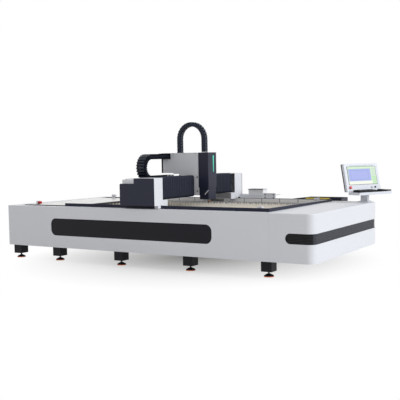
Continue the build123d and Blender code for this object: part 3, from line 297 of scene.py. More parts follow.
def slat_steel(name, colour, tip):
    """Blade steel that cutting has browned and spattered towards the teeth."""
    steel = Finish(name, Metallic=0.25, Specular_IOR_Level=0.4)
    spot = steel.place()
    height = steel.axes(spot)[2]
    browned = 0.030
    grain = steel.noise(spot, 30, 4)
    heat = ((height - (tip - browned)) / browned + grain * 1.1 - 0.55).clamped()
    tone = steel.mix(grain, shade(colour, 0.9), shade(colour, 1.1))
    tone = steel.mix(heat * 0.45, tone, BROWNED_STEEL)
    spots = steel.node("ShaderNodeTexVoronoi", None, {"Vector": spot, "Scale": 140.0})
    spatter = spots.below(0.16) * (steel.noise(spot, 12, 2).above(0.5))
    tone = steel.mix(spatter * 0.5, tone, SPATTER)
    return steel.surface(tone, 0.34 + grain * 0.25, grain, 0.0004)


def moulded(name, colour, rough=0.5, bump=0.0001, scale=400, coat=0.0, **constants):
    plastic = Finish(name, Coat_Weight=coat, Coat_Roughness=0.1, **constants)
    spot = plastic.place()
    grain = plastic.noise(spot, scale, 2)
    cloud = plastic.noise(spot, 8, 3)
    tone = plastic.mix(cloud, shade(colour, 0.92), shade(colour, 1.1))
    return plastic.surface(tone, rough - 0.05 + grain * 0.1, grain, bump)


def conduit_plastic(name, colour):
    """Corrugated along the bed; the colour darkens with the rings' bump, painted shade in the grooves."""
    tube = Finish(name)
    rings = tube.bands(tube.place(), "X", 40.0)
    tone = tube.mix(rings, shade(colour, 0.72), shade(colour, 1.08))
    return tube.surface(tone, 0.42, rings, 0.0015)


def pleated_cloth(name, colour):
    """Coated weave, paler on the folds' crests: a painted highlight."""
    cloth = Finish(name, Specular_IOR_Level=0.25)
    spot = cloth.place()
    weave = cloth.bands(spot, "Y", 260.0) * cloth.bands(spot, "Z", 260.0)
    crest = cloth.node("ShaderNodeAttribute", {"attribute_name": "crest"}, out="Fac")
    patch = cloth.noise(spot, 12, 3)
    # paler crests: painted highlight
    tone = cloth.mix((crest - 0.55) * 1.4 * patch + 0.08, shade(colour, 0.85), CREST_HIGHLIGHT)
    return cloth.surface(tone, 0.62 + patch * 0.15, weave, 0.0002)


def turned_copper(name, colour):
    copper = Finish(name, Metallic=1.0)
    spot = copper.place()
    rings = copper.bands(spot, "Z", 300.0)
    tone = copper.mix(copper.noise(spot, 60, 3), shade(colour, 0.82), shade(colour, 1.1))
    return copper.surface(tone, 0.24 + rings * 0.08, rings, 0.0001)


def lit_strip(name, colour):
    strip = Finish(name, Roughness=0.3, Emission_Strength=0.35)
    height = strip.axes(strip.place())[2]
    low, high = (corner[2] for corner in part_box("light_strip"))
    along = ((height - low) / (high - low)).clamped()
    tone = strip.mix(along, shade(colour, 0.8), shade(colour, 1.1))
    strip.put(strip.shader.inputs["Emission Color"], tone)
    return strip.surface(tone)


def display(name):
    """Generic control screen on the piece's own UV map: a plot field, bars and a key column."""
    screen = Finish(name, Roughness=0.3, Emission_Strength=0.86, Specular_IOR_Level=0.2)
    across, up, _ = screen.axes(screen.node("ShaderNodeTexCoord", out="UV"))

    def field(left, right, bottom, top):
        return across.above(left) * across.below(right) * (up.above(bottom) * up.below(top))

    def row(value, count, share):
        return (value * count).fract().distance(0.5).below(share)

    plot = field(0.03, 0.80, 0.20, 0.86)
    lines = ((across * 14.0).fract().below(0.04) + (up * 9.0).fract().below(0.05)).clamped() * plot
    sheet = field(0.10, 0.72, 0.28, 0.78) - field(0.104, 0.716, 0.288, 0.772)
    keys = field(0.85, 0.97, 0.06, 0.94) * row(up, 11.0, 0.34)
    tools = row(across, 18.0, 0.3) * (up.above(0.895) * up.below(0.955))
    tone = (0.33, 0.36, 0.36)
    for share, colour in (
        (field(0.012, 0.988, 0.02, 0.98), (0.80, 0.91, 0.76)),
        (field(0.83, 0.985, 0.45, 0.97), (0.86, 0.90, 0.86)),
        (field(0.012, 0.83, 0.02, 0.19), (0.95, 0.96, 0.91)),
        (plot, (0.655, 0.69, 0.91)),
        (lines * 0.3, (0.78, 0.81, 0.96)),
        (sheet, (0.36, 0.40, 0.70)),
        (keys * 0.45, (0.62, 0.86, 0.60)),
        (tools * 0.5, (0.90, 0.96, 0.86)),
    ):
        tone = screen.mix(share, tone, colour)
    screen.put(screen.shader.inputs["Emission Color"], tone)
    return screen.surface(screen.mix(0.88, tone, (0.02, 0.02, 0.03)))


def red_at_left(name, red, pale):
    """Rubber buffers: the one by the front left corner is red."""
    rubber = Finish(name, Roughness=0.55, Specular_IOR_Level=0.3)
    spot = rubber.place()
    x, y, _ = rubber.axes(spot)
    grain = rubber.noise(spot, 300, 2)
    tone = rubber.mix(x.below(0.0) * y.below(0.0), pale, red)
    return rubber.surface(rubber.mix(grain * 0.2, tone, (0.4, 0.38, 0.38)), 0.5 + grain * 0.1, grain, 0.0001)


def make_finishes(look):
    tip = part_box("support_slats")[1].z
    facing, depth = console_front()
    bezel = 0.034

    def add(maker, name, *values, **more):
        FINISHES[name] = maker(name, *values, **more)

    add(powder_coat, "cover_grey", look.cover, 0.45, 0.012)
    add(powder_coat, "end_white", look.cover, 0.42, 0.012)
    add(powder_coat, "navy_black", look.navy, 0.40, 0.10, dust=0.05, shine=0.27)
    cream = cream_inside(shade(look.deck, 1.1))
    add(powder_coat, "rim_two_tone", look.navy, 0.42, 0.10, shine=0.2, second=cream)
    add(powder_coat, "frame_grey", look.frame, 0.5, 0.05, dust=0.4, second=pale_stops(look.cover))
    add(powder_coat, "leg_black", look.leg, 0.45, 0.12, shine=0.18)
    # the band's operator-side faces are darkened: painted shade
    add(powder_coat, "band_grey", look.band, 0.42, 0.08, shine=0.25, second=shaded_front_band(look.leg))
    add(powder_coat, "arm_white", look.cover, 0.42, 0.015, second=arm_greys(look.lid, look.junction))
    # the deck gets blue-grey patches of painted reflection
    add(worked_metal, "cream_deck", look.deck, 0.24, (5.0, 1.2, 1.0), DECK_PAINTED_REFLECTION, metallic=0.55)
    add(slat_steel, "bare_steel", look.steel, tip)
    add(worked_metal, "ground_steel", (0.72, 0.73, 0.75), 0.26)
    add(worked_metal, "machined_aluminium", (0.74, 0.75, 0.76), 0.34, (300, 300, 3))
    add(turned_copper, "copper_nozzle", (0.86, 0.56, 0.38))
    add(moulded, "foot_rubber", look.foot, 0.6)
    add(red_at_left, "red_rubber", (0.78, 0.12, 0.12), look.cover)
    add(pleated_cloth, "bellows_cloth", look.bellows)
    add(moulded, "chain_plastic", look.chain, 0.46, Specular_IOR_Level=0.3)
    add(conduit_plastic, "conduit_yellow", look.conduit)
    add(powder_coat, "console_white", look.console, 0.40, 0.015, shine=0.4)
    # dark back shell, partly its own colour and partly painted shade on the monitor's side
    back = dark_back_and_side_shade(facing, depth - bezel, look.monitor_back)
    add(powder_coat, "monitor_shell", look.console, 0.40, 0.015, shine=0.4, second=back)
    add(lit_strip, "strip_green", look.strip)
    add(display, "screen_face")
    add(moulded, "button_red", (0.84, 0.12, 0.11), 0.3, 0.00003, coat=0.3)
    add(moulded, "button_black", (0.05, 0.055, 0.065), 0.42, 0.00004, Specular_IOR_Level=0.25)
    add(moulded, "button_white", (0.62, 0.63, 0.65), 0.35, 0.00003)


# Mesh helpers
def new_object(name, data):
    made = bpy.data.objects.new(name, data)
    bpy.context.scene.collection.objects.link(made)
    return made


def finished(name, mesh, slot, body=None, finish=None):
    """Object of that mesh with its finish, riding on a body unless it will be blended."""
    piece = new_object(name, mesh)
    mesh.materials.clear()
    mesh.materials.append(FINISHES[finish or slot])
    if body:
        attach(piece, body)
    return piece


def from_bmesh(name, build, smooth=False):
    mesh = bpy.data.meshes.new(name)
    bmesh.ops.remove_doubles(build, verts=build.verts, dist=1e-6)
    bmesh.ops.recalc_face_normals(build, faces=build.faces)
    build.to_mesh(mesh)
    build.free()
    for face in mesh.polygons:
        face.use_smooth = smooth
    return mesh


def add_block(build, low, high, bevel):
    """Box between two corners with its edges rounded."""
    made = bmesh.ops.create_cube(build, size=1.0)
    size = Vector(high) - Vector(low)
    middle = (Vector(high) + Vector(low)) / 2
    for vert in made["verts"]:
        vert.co = Vector(a * b for a, b in zip(vert.co, size)) + middle
    edges = {edge for vert in made["verts"] for edge in vert.link_edges}
    bmesh.ops.bevel(build, geom=list(edges), offset=bevel, segments=2, profile=0.6, affect="EDGES")


def skin(build, rings):
    """Closed tube through rings of corners, with both ends filled."""
    for lower, upper in zip(rings, rings[1:]):
        for i in range(len(lower)):
            j = (i + 1) % len(lower)
            build.faces.new((lower[i], lower[j], upper[j], upper[i]))
    build.faces.new(rings[0][::-1])
    build.faces.new(rings[-1])


def run(start, end, step):
    """Even places about a step apart, from start up to the last before end."""
    count = max(1, round(abs(end - start) / step))
    return [start + (end - start) * i / count for i in range(count)]


def even(start, end, step):
    return run(start, end, step) + [end]


# Geometry Nodes helpers
class Recipe:
    """A geometry tree with named inputs, used once and turned into a plain mesh."""

    def __init__(self, name):
        self.tree = bpy.data.node_groups.new(name, "GeometryNodeTree")
        self.sockets = {}
        self.tree.interface.new_socket("Geometry", in_out="INPUT", socket_type="NodeSocketGeometry")
        self.tree.interface.new_socket("Geometry", in_out="OUTPUT", socket_type="NodeSocketGeometry")
        self.start = self.tree.nodes.new("NodeGroupInput")
        self.end = self.tree.nodes.new("NodeGroupOutput")

    def ask(self, name, kind):
        made = self.tree.interface.new_socket(name, in_out="INPUT", socket_type=kind)
        self.sockets[name] = made.identifier
        return self.start.outputs[name]

    def node(self, kind, settings=None, sockets=None, out=0):
        made = self.tree.nodes.new(kind)
        for name, value in (settings or {}).items():
            setattr(made, name, value)
        for name, value in (sockets or {}).items():
            if isinstance(value, bpy.types.NodeSocket):
                self.tree.links.new(value, made.inputs[name])
            else:
                made.inputs[name].default_value = value
        return made.outputs[out]

    def finish(self, geometry):
        material = self.ask("Finish", "NodeSocketMaterial")
        solid = self.node("GeometryNodeRealizeInstances", None, {0: geometry})
        painted = self.node("GeometryNodeSetMaterial", None, {"Geometry": solid, "Material": material})
        self.tree.links.new(painted, self.end.inputs[0])

    def bake(self, name, base, slot, **values):
        """Runs the tree on the base mesh and returns the plain result."""
        carrier = new_object(name + "_base", base)
        modifier = carrier.modifiers.new("recipe", "NODES")
        modifier.node_group = self.tree
        values["Finish"] = FINISHES[slot]
        for asked, value in values.items():
            modifier[self.sockets[asked]] = value
        bpy.context.view_layer.update()
        seen = carrier.evaluated_get(bpy.context.evaluated_depsgraph_get())
        mesh = bpy.data.meshes.new_from_object(seen)
        mesh.name = name
        carrier.modifiers.remove(modifier)
        bpy.data.objects.remove(carrier)
        return mesh


def turned_copies():
    """Copies of a pattern on points, each turned by the point's own angles."""
    recipe = Recipe("turned_copies")
    pattern = recipe.ask("Pattern", "NodeSocketObject")
    angles = recipe.node("GeometryNodeInputNamedAttribute", {"data_type": "FLOAT_VECTOR"}, {"Name": "angles"})
    turn = recipe.node("FunctionNodeEulerToRotation", None, {0: angles})
    shape = recipe.node("GeometryNodeObjectInfo", None, {"Object": pattern}, out="Geometry")
    points = recipe.node("GeometryNodeMeshToPoints", None, {"Mesh": recipe.start.outputs[0]})
    sockets = {"Points": points, "Instance": shape, "Rotation": turn}
    recipe.finish(recipe.node("GeometryNodeInstanceOnPoints", None, sockets))
    return recipe


def point_mesh(name, rows):
    """Points with an angles attribute from (place, angles) rows."""
    mesh = bpy.data.meshes.new(name)
    mesh.from_pydata([place for place, _ in rows], [], [])
    angles = mesh.attributes.new("angles", "FLOAT_VECTOR", "POINT")
    for i, (_, turn) in enumerate(rows):
        angles.data[i].vector = turn
    return mesh


def copies_of(name, pattern, rows, slot):
    """One mesh with the pattern at every (place, angles) row."""
    holder = new_object(name + "_pattern", pattern)
    mesh = turned_copies().bake(name, point_mesh(name + "_points", rows), slot, Pattern=holder)
    bpy.data.objects.remove(holder)
    return mesh


# Screw helpers
FACING = {"+Z": (0, 0, 0), "-Y": (math.pi / 2, 0, 0), "+Y": (-math.pi / 2, 0, 0)}


def screw_pattern(radius):
    """Button head with a hexagon socket, its seat at the origin, pointing up Z."""
    build = bmesh.new()
    socket = rise = radius * 0.5
    steps = 12
    sixth = math.pi / 3
    angles = [2 * math.pi * i / steps for i in range(steps)]
    head = [(radius, 0.0), (radius, rise * 0.35), (radius * 0.86, rise * 0.8), (radius * 0.62, rise)]
    rings = [[(r * math.cos(a), r * math.sin(a), z) for a in angles] for r, z in head]
    for z in (rise, rise * 0.35):
        ring = []
        for a in angles:
            r = socket * math.cos(sixth / 2) / math.cos((a % sixth) - sixth / 2)
            ring.append((r * math.cos(a), r * math.sin(a), z))
        rings.append(ring)
    skin(build, [[build.verts.new(p) for p in ring] for ring in rings])
    return from_bmesh("screw_pattern", build)


def grid(facing, xs, ys, zs):
    """Rows of screw places, all with their heads the same way."""
    return [((x, y, z), FACING[facing]) for y in ys for x in xs for z in zs]


def add_screws(name, body, places, slot, radius):
    finished(name, copies_of(name, screw_pattern(radius), places, slot), slot, body)


# Drag chains
def spread(piece, first, second, share):
    """Blends between two bodies with the share that each point takes of the second one."""
    places = [vert.co for vert in piece.data.vertices]
    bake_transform(piece, first, second, (0, 0, 0), (1, 0, 0))
    weights = piece.data.attributes["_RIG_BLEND"].data
    for weight, place in zip(weights, places):
        weight.value = min(1.0, max(0.0, share(place)))


# Cables as (offset from the middle, radius) pairs
CROSS_CABLES = ((-0.045, 0.013), (-0.015, 0.010), (0.012, 0.012), (0.043, 0.014))
LONG_CABLES = ((-0.03, 0.011), (-0.004, 0.009), (0.026, 0.013))
ARCH_CABLES = ((-0.022, 0.010), (0.0, 0.008), (0.022, 0.011))


def chain_link_pattern(length, width, thick):
    """One link about its middle: side plates that lap the next link's, and two cross bars."""
    build = bmesh.new()
    plate, half, steps = width * 0.09, thick / 2, 6
    reach, lap, roundness = 0.62 * length, 0.10 * length, 0.55 * half
    for side in (-1, 1):
        for start, end, inset in ((-reach, lap, 0.0), (-lap, reach, plate * 0.55)):
            outline = []
            for centre, way in ((start, 1), (end, -1)):
                for i in range(steps + 1):
                    angle = way * math.pi / 2 + math.pi * i / steps
                    x = centre + way * roundness * (1 + way * math.cos(angle))
                    outline.append((x, half * math.sin(angle)))
            outer = width / 2 - inset
            rings = []
            for y in (side * (outer - plate * 0.5), side * outer):
                rings.append([build.verts.new((x, y, z)) for x, z in outline])
            skin(build, rings)
    bar, level, inner = 0.34 * length, 0.97 * half, width / 2 - plate
    for z in (-level, level):
        add_block(build, (-bar, -inner, z - half * 0.09), (bar, inner, z + half * 0.03), half * 0.05)
    return from_bmesh("link_pattern", build)


def bend_stations(fixed, bend, moving, low, high, pitch):
    """Stations along the fixed run, round the bend to the moving run."""
    radius = (high - low) / 2
    stations = [(u, low) for u in run(fixed, bend, pitch)]
    turns = max(6, round(math.pi * radius / pitch))
    for i in range(turns + 1):
        angle = math.pi * i / turns
        stations.append((bend - radius * math.sin(angle), low + radius - radius * math.cos(angle)))
    return stations + [(u, high) for u in run(moving, bend, pitch)[::-1]]


def cable_core(name, stations, place, cables):
    """Cables inside a chain: round cords side by side along the stations."""
    build = bmesh.new()
    steps = 8
    for offset, radius in cables:
        rings = []
        for i, (u, v) in enumerate(stations):
            u0, v0 = stations[max(0, i - 1)]
            u1, v1 = stations[min(len(stations) - 1, i + 1)]
            length = math.hypot(u1 - u0, v1 - v0)
            ring = []
            for k in range(steps):
                angle = 2 * math.pi * k / steps
                out = radius * math.sin(angle) / length
                side = offset + radius * math.cos(angle)
                ring.append(build.verts.new(place(u - (v1 - v0) * out, v + (u1 - u0) * out, side)))
            rings.append(ring)
        skin(build, rings)
    return from_bmesh(name, build, smooth=True)


def hang_chain(name, node, stations, place, sizes, cables, bodies, share, heading=0.0):
    """Links and cables along (u, v) stations in place of the node, blended between two bodies."""
    rows = []
    for (u0, v0), (u1, v1) in zip(stations, stations[1:]):
        turn = math.atan2(v1 - v0, u1 - u0)
        rows.append((place((u0 + u1) / 2, (v0 + v1) / 2, 0.0), (0, -turn, heading)))
    mesh = copies_of(name + "_links", chain_link_pattern(*sizes), rows, "chain_plastic")
    links = finished(name + "_links", mesh, "chain_plastic")
    core = cable_core(name + "_cables", stations, place, cables)
    for piece in (links, finished(name + "_cables", core, "button_black")):
        spread(piece, *bodies, share)
    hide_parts(node)


class CUTTER_OT_cross_chain(bpy.types.Operator):
    """Drag chain that feeds the carriage, rolled back over the gantry's tray"""

    bl_idname = "cutter.cross_chain"
    bl_label = "Cross drag chain"

    def execute(self, context):
        detail = context.scene.cutter_detail
        low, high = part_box("y_drag_chain")
        thick, pitch, margin = detail.cross_chain_height, detail.cross_link_pitch, 0.02
        bend = low.y + (high.z - low.z) / 2
        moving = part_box("chain_bracket")[1].y
        x = (low.x + high.x) / 2
        levels = low.z + thick / 2, high.z - thick / 2
        stations = bend_stations(high.y, bend, moving - 0.002, *levels, pitch)

        def share(place):
            if place.z < low.z + thick + margin:
                return 0.5 * (high.y - place.y) / (high.y - bend)
            if place.z > high.z - thick - margin and place.y > bend:
                return 0.5 + 0.5 * (place.y - bend) / (moving - bend)
            return 0.5

        hang_chain(
            "cross_chain", "y_drag_chain", stations, lambda u, v, s: (x + s, u, v),
            (pitch, high.x - low.x, thick), CROSS_CABLES, ("gantry", "carriage"), share, math.pi / 2,
        )
        return {"FINISHED"}


class CUTTER_OT_long_chain(bpy.types.Operator):
    """Drag chain that feeds the gantry, rolling in the trough behind the bed"""

    bl_idname = "cutter.long_chain"
    bl_label = "Long drag chain"

    def execute(self, context):
        detail = context.scene.cutter_detail
        low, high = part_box("x_drag_chain")
        thick, pitch = detail.long_chain_height, detail.link_pitch
        bend = low.x + (high.z - low.z) / 2
        fixed = high.x - detail.long_chain_overhang
        y, middle = (low.y + high.y) / 2, (low.z + high.z) / 2
        stations = bend_stations(fixed, bend, high.x, low.z + thick / 2, high.z - thick / 2, pitch)

        def share(place):
            if place.x < bend:
                return 0.5
            if place.z < middle:
                return 0.5 * (fixed - place.x) / (fixed - bend)
            return 0.5 + 0.5 * (place.x - bend) / (high.x - bend)

        hang_chain(
            "long_chain", "x_drag_chain", stations, lambda u, v, s: (u, y + s, v),
            (pitch, high.y - low.y, thick), LONG_CABLES, ("bed", "gantry"), share,
        )
        return {"FINISHED"}


class CUTTER_OT_arch_chain(bpy.types.Operator):
    """Upright arch of drag chain from the carriage's top to the head's slide"""

    bl_idname = "cutter.arch_chain"
    bl_label = "Arched drag chain"

    def execute(self, context):
        detail = context.scene.cutter_detail
        low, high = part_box("z_drag_chain")
        thick, pitch = detail.arch_chain_height, detail.link_pitch * 0.8
        y = (low.y + high.y) / 2
        left, right = low.x + thick / 2, high.x - thick / 2
        middle, radius = (left + right) / 2, (right - left) / 2
        spring = high.z - thick / 2 - radius
        stations = [(left, z) for z in run(low.z, spring, pitch)]
        turns = round(math.pi * radius / pitch)
        for i in range(turns + 1):
            angle = math.pi * i / turns
            stations.append((middle - radius * math.cos(angle), spring + radius * math.sin(angle)))
        stations += [(right, z) for z in run(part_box("z_slide")[1].z, spring, pitch)[::-1]]
        hang_chain(
            "arch_chain", "z_drag_chain", stations, lambda u, v, s: (u, y + s, v),
            (pitch, high.y - low.y, thick), ARCH_CABLES, ("carriage", "cutting_unit"),
            lambda place: (place.x - left) / (right - left),
        )
        return {"FINISHED"}


# Bellows
def bellows_outline(front, low, high, back, corner):
    """Channel outline in X and Z with round front corners, open towards the beam."""
    outline = [(back, low)]
    steps = 5
    for cx, cz, start in ((front - corner, low + corner, -90), (front - corner, high - corner, 0)):
        for i in range(steps + 1):
            angle = math.radians(start + 90 * i / steps)
            outline.append((cx + corner * math.cos(angle), cz + corner * math.sin(angle)))
    outline.append((back, high))
    return outline


def pleated_mesh(name, low, high, pitch, fold, thickness, corner):
    """Pleats along Y between two box corners, with the crests marked for the painted highlight."""
    build = bmesh.new()
    crest_sharpness = 0.7
    crest = build.verts.layers.float.new("crest")
    pleats = max(2, round((high.y - low.y) / pitch))
    rows = []
    steps = 4 * pleats
    for i in range(steps + 1):
        wave = 0.5 - 0.5 * math.cos(2 * math.pi * i / 4)
        sharp = wave ** crest_sharpness
        inset = fold * (1 - sharp)
        y = low.y + (high.y - low.y) * i / steps
        outline = bellows_outline(high.x - inset, low.z + inset, high.z - inset, low.x, corner)
        rows.append(([build.verts.new((x, y, z)) for x, z in outline], sharp))
    for row, sharp in rows:
        for vert in row:
            vert[crest] = sharp
    for (lower, _), (upper, _) in zip(rows, rows[1:]):
        for i in range(len(lower) - 1):
            build.faces.new((lower[i], lower[i + 1], upper[i + 1], upper[i]))
    bmesh.ops.recalc_face_normals(build, faces=build.faces)
    bmesh.ops.solidify(build, geom=build.faces[:], thickness=thickness)
    mesh = bpy.data.meshes.new(name)
    build.to_mesh(mesh)
    build.free()
    return mesh


class CUTTER_OT_bellows(bpy.types.Operator):
    """Pleated bellows over the cross rails, on both sides of the carriage"""

    bl_idname = "cutter.bellows"
    bl_label = "Bellows"

    def execute(self, context):
        detail = context.scene.cutter_detail
        sizes = detail.pleat_pitch, detail.pleat_depth, detail.cloth_thickness, detail.bellows_corner
        for node in ("bellows_near", "bellows_far"):
            low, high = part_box(node)
            name = node + "_pleats"
            piece = finished(name, pleated_mesh(name, low, high, *sizes), "bellows_cloth")
            fixed, moving = (low.y, high.y) if node == "bellows_near" else (high.y, low.y)
            spread(piece, "gantry", "carriage", lambda p, a=fixed, b=moving: (p.y - a) / (b - a))
            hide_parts(node)
        return {"FINISHED"}


# Forms with edges a little off the solids', and trims
TRIM_GAP = 0.0005


def reworked(node, move):
    """Copy of a node's mesh in place of the node; move(corner) shifts each corner that it picks."""
    build = bmesh.new()
    build.from_mesh(NODES[node].data)
    bmesh.ops.remove_doubles(build, verts=build.verts, dist=1e-5)
    for vert in build.verts:
        move(vert.co)
    mesh = from_bmesh(node + "_form", build)
    piece = finished(node + "_form", mesh, SLOTS[node], BODIES[node], NODE_FINISHES.get(node))
    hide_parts(node)


def lay(build, origin, axes):
    """Moves a build so that its origin and axes lie on the given ones."""
    for vert in build.verts:
        vert.co = sum((axis * c for axis, c in zip(axes, vert.co)), origin)


def block_piece(name, corners, slot, body, bevel=0.0015, frame=None):
    """One piece of rounded blocks from (low, high) corner pairs, on an (origin, axes) frame if given."""
    build = bmesh.new()
    for low, high in corners:
        add_block(build, low, high, bevel)
    if frame:
        lay(build, *frame)
    finished(name, from_bmesh(name, build), slot, body)


class CUTTER_OT_forms(bpy.types.Operator):
    """Rim, trough, housing, tray, post and stops with the photograph's edges, and the trims"""

    bl_idname = "cutter.forms"
    bl_label = "Forms"

    def execute(self, context):
        detail = context.scene.cutter_detail
        self.rim(detail)
        self.trough(detail)
        self.housing(detail)
        self.tray()
        self.post(detail)
        self.gantry_trims()
        self.other_trims(detail)
        self.stops(detail)
        return {"FINISHED"}

    def rim(self, detail):
        low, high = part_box("table_rim")

        def move(p):
            if p.z > high.z - 0.001:
                p.z += detail.rim_rise * (high.y - p.y) / (high.y - low.y)

        reworked("table_rim", move)

    def trough(self, detail):
        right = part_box("chain_trough")[1].x
        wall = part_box("rear_cover")[1].z
        knee, end = right - 0.90, right - 0.065

        def move(p):
            if p.z > wall + 0.01:
                p.z -= detail.trough_drop
                if abs(p.x - knee) < 0.01:
                    p.x += detail.trough_slope
            if p.x > end:
                p.x -= detail.trough_short

        reworked("chain_trough", move)

    def housing(self, detail):
        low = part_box("carriage_housing")[0]
        step, flap = low.x + 0.253, low.z + 0.039

        def move(p):
            if p.z < low.z + 0.004:
                p.z -= detail.housing_drop
            elif p.z < flap and p.x < step + 0.004:
                p.z -= detail.flap_drop
            if abs(p.x - step) < 0.005 and p.z < flap + 0.001:
                p.x += detail.step_shift

        reworked("carriage_housing", move)

    def tray(self):
        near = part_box("y_chain_tray")[0].y
        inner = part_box("bellows_near")[0].y

        def move(p):
            if p.y < near + 0.01:
                p.y = inner + 0.003

        reworked("y_chain_tray", move)

    def post(self, detail):
        low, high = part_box("console_post")
        middle = (low + high) / 2

        def move(p):
            for axis in (0, 1):
                p[axis] = middle[axis] + (p[axis] - middle[axis]) * detail.post_width

        reworked("console_post", move)

    def stops(self, detail):
        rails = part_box("x_rails")[1].z

        def move(p):
            if p.z > rails + 0.05:
                p.z -= detail.stop_drop

        reworked("side_beams", move)
        reworked("buffers", move)

    def gantry_trims(self):
        low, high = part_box("end_housings")
        start = Vector((low.x, low.y, high.z)) + Vector((0.033, 0.004, -0.071))
        size = Vector((0.195, 0.181, 0.054))
        block_piece("step_cover", [(start, start + size)], "end_white", "gantry", 0.006)
        depth, width, drop, lap = 0.060, 0.062, 0.039, 0.002
        near_inset, far_inset = 0.083, 0.118
        feet = []
        for side in (low.y + near_inset, high.y - far_inset - width):
            start = (high.x - depth, side, low.z - drop)
            feet.append((start, (high.x - TRIM_GAP, side + width, low.z + lap)))
        block_piece("foot_gussets", feet, "end_white", "gantry", 0.003)
        low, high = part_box("x_chain_arm")
        start, size = low + Vector((0.32, TRIM_GAP, 0.006)), Vector((0.395, 0.007, 0.049))
        block_piece("arm_fascia", [(start, start + size)], "end_white", "gantry")
        bolts = grid("-Y", (high.x - 0.17, high.x - 0.03), [low.y], (low.z + 0.02, low.z + 0.06))
        add_screws("arm_bolts", "gantry", bolts, "button_black", 0.010)

    def other_trims(self, detail):
        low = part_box("carriage_housing")[0]
        width, proud, bottom, top = 0.024, 0.002, 0.024, 0.22
        strip = low + Vector((0, -proud, bottom)), low + Vector((width, -0.0001, top))
        block_piece("housing_edge", [strip], "leg_black", "carriage", 0.0004)
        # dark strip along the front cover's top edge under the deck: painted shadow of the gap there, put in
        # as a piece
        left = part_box("tail_deck")[0].x + 0.07
        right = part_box("table_rim")[0].x - 0.001
        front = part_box("front_cover")[1]
        drop, rise, depth = 0.02, 0.010, 0.0065
        start = (left, front.y + TRIM_GAP, front.z - drop)
        shade_strip = start, (right, front.y + depth, front.z + rise)
        block_piece("deck_seal", [shade_strip], "leg_black", "bed", 0.001)
        # pale sloped strip on the shroud's corner where a bright streak shows: a painted highlight
        low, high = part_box("head_shroud")
        half = Vector((0.043, 0.0008, 0.0065))
        middle = Vector((high.x, low.y, low.z)) + Vector((-0.030, -0.001, 0.098))
        axes = Matrix.Rotation(-detail.highlight_lean, 3, "Y").col
        edge = [(-half, half)]
        block_piece("shroud_edge", edge, "end_white", "cutting_unit", 0.0006, (middle, axes))


# Console
def console_axes():
    """Post axis, across and facing directions of the console, seen from its own front face."""
    low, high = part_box("console_post")
    post = Vector(((low.x + high.x) / 2, (low.y + high.y) / 2, 0))
    mesh = NODES["monitor_screen"].data
    front = max(mesh.polygons, key=lambda f: (f.normal.x > 0.5) * f.area)
    facing = front.normal.normalized()
    across = Vector((0, 0, 1)).cross(facing).normalized()
    return post, across, facing


def console_front():
    """Facing direction of the monitor and how far out along it the bezel's face is."""
    _, _, facing = console_axes()
    return facing, max(vert.co.dot(facing) for vert in NODES["monitor_screen"].data.vertices) + 0.003


class CUTTER_OT_console(bpy.types.Operator):
    """Wider monitor with its lit screen, higher keys, and the mouse's shelf and mat"""

    bl_idname = "cutter.console"
    bl_label = "Console"

    def execute(self, context):
        detail = context.scene.cutter_detail
        post, across, facing = console_axes()
        up = facing.cross(across).normalized()
        edge = detail.monitor_half - 0.012
        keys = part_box("keyboard")[1].z - 0.012

        def widen(p):
            side = (p - post).dot(across)
            if abs(side) > edge:
                p += across * math.copysign(detail.monitor_widening, side)

        def lift(p):
            if p.z > keys:
                p.z += detail.keyboard_rise

        reworked("monitor_housing", widen)
        reworked("keyboard", lift)
        self.screen(detail, post, across, facing, up)
        self.shelf(detail, post, across)
        return {"FINISHED"}

    def screen(self, detail, post, across, facing, up):
        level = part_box("console_tray")[1].z
        foot = post + Vector((0, 0, level))
        _, depth = console_front()
        foot += facing * (depth - foot.dot(facing))
        width, height = detail.screen_width, detail.screen_height
        middle = foot + across * detail.screen_offset + up * (detail.screen_bottom + height / 2)
        build = bmesh.new()
        add_block(build, (-width / 2, -height / 2, 0.0), (width / 2, height / 2, 0.003), 0.0008)
        layer = build.loops.layers.uv.new("picture")
        for face in build.faces:
            for loop in face.loops:
                place = loop.vert.co
                loop[layer].uv = (place.x / width + 0.5, place.y / height + 0.5)
        lay(build, middle, (across, up, facing))
        piece = finished("screen_panel", from_bmesh("screen_panel", build), "screen_face", "console")
        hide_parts("monitor_screen")

    def shelf(self, detail, post, across):
        top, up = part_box("console_tray")[1].z, Vector((0, 0, 1))
        axes = across.cross(up).normalized(), across, up
        half = detail.monitor_half
        reach = half + detail.shelf_reach
        shelf = [((-0.02, half - 0.002, top - 0.030), (0.130, reach, top - 0.001))]
        mat = [
            ((0.014, 0.080, top - 0.0062), (0.190, half - 0.012, top - 0.001)),
            ((-0.012, half - 0.014, top - 0.0012), (0.122, reach - 0.006, top + 0.016)),
        ]
        block_piece("mouse_shelf", shelf, "console_white", "console", 0.004, (post, axes))
        block_piece("mouse_mat", mat, "button_black", "console", 0.001, (post, axes))


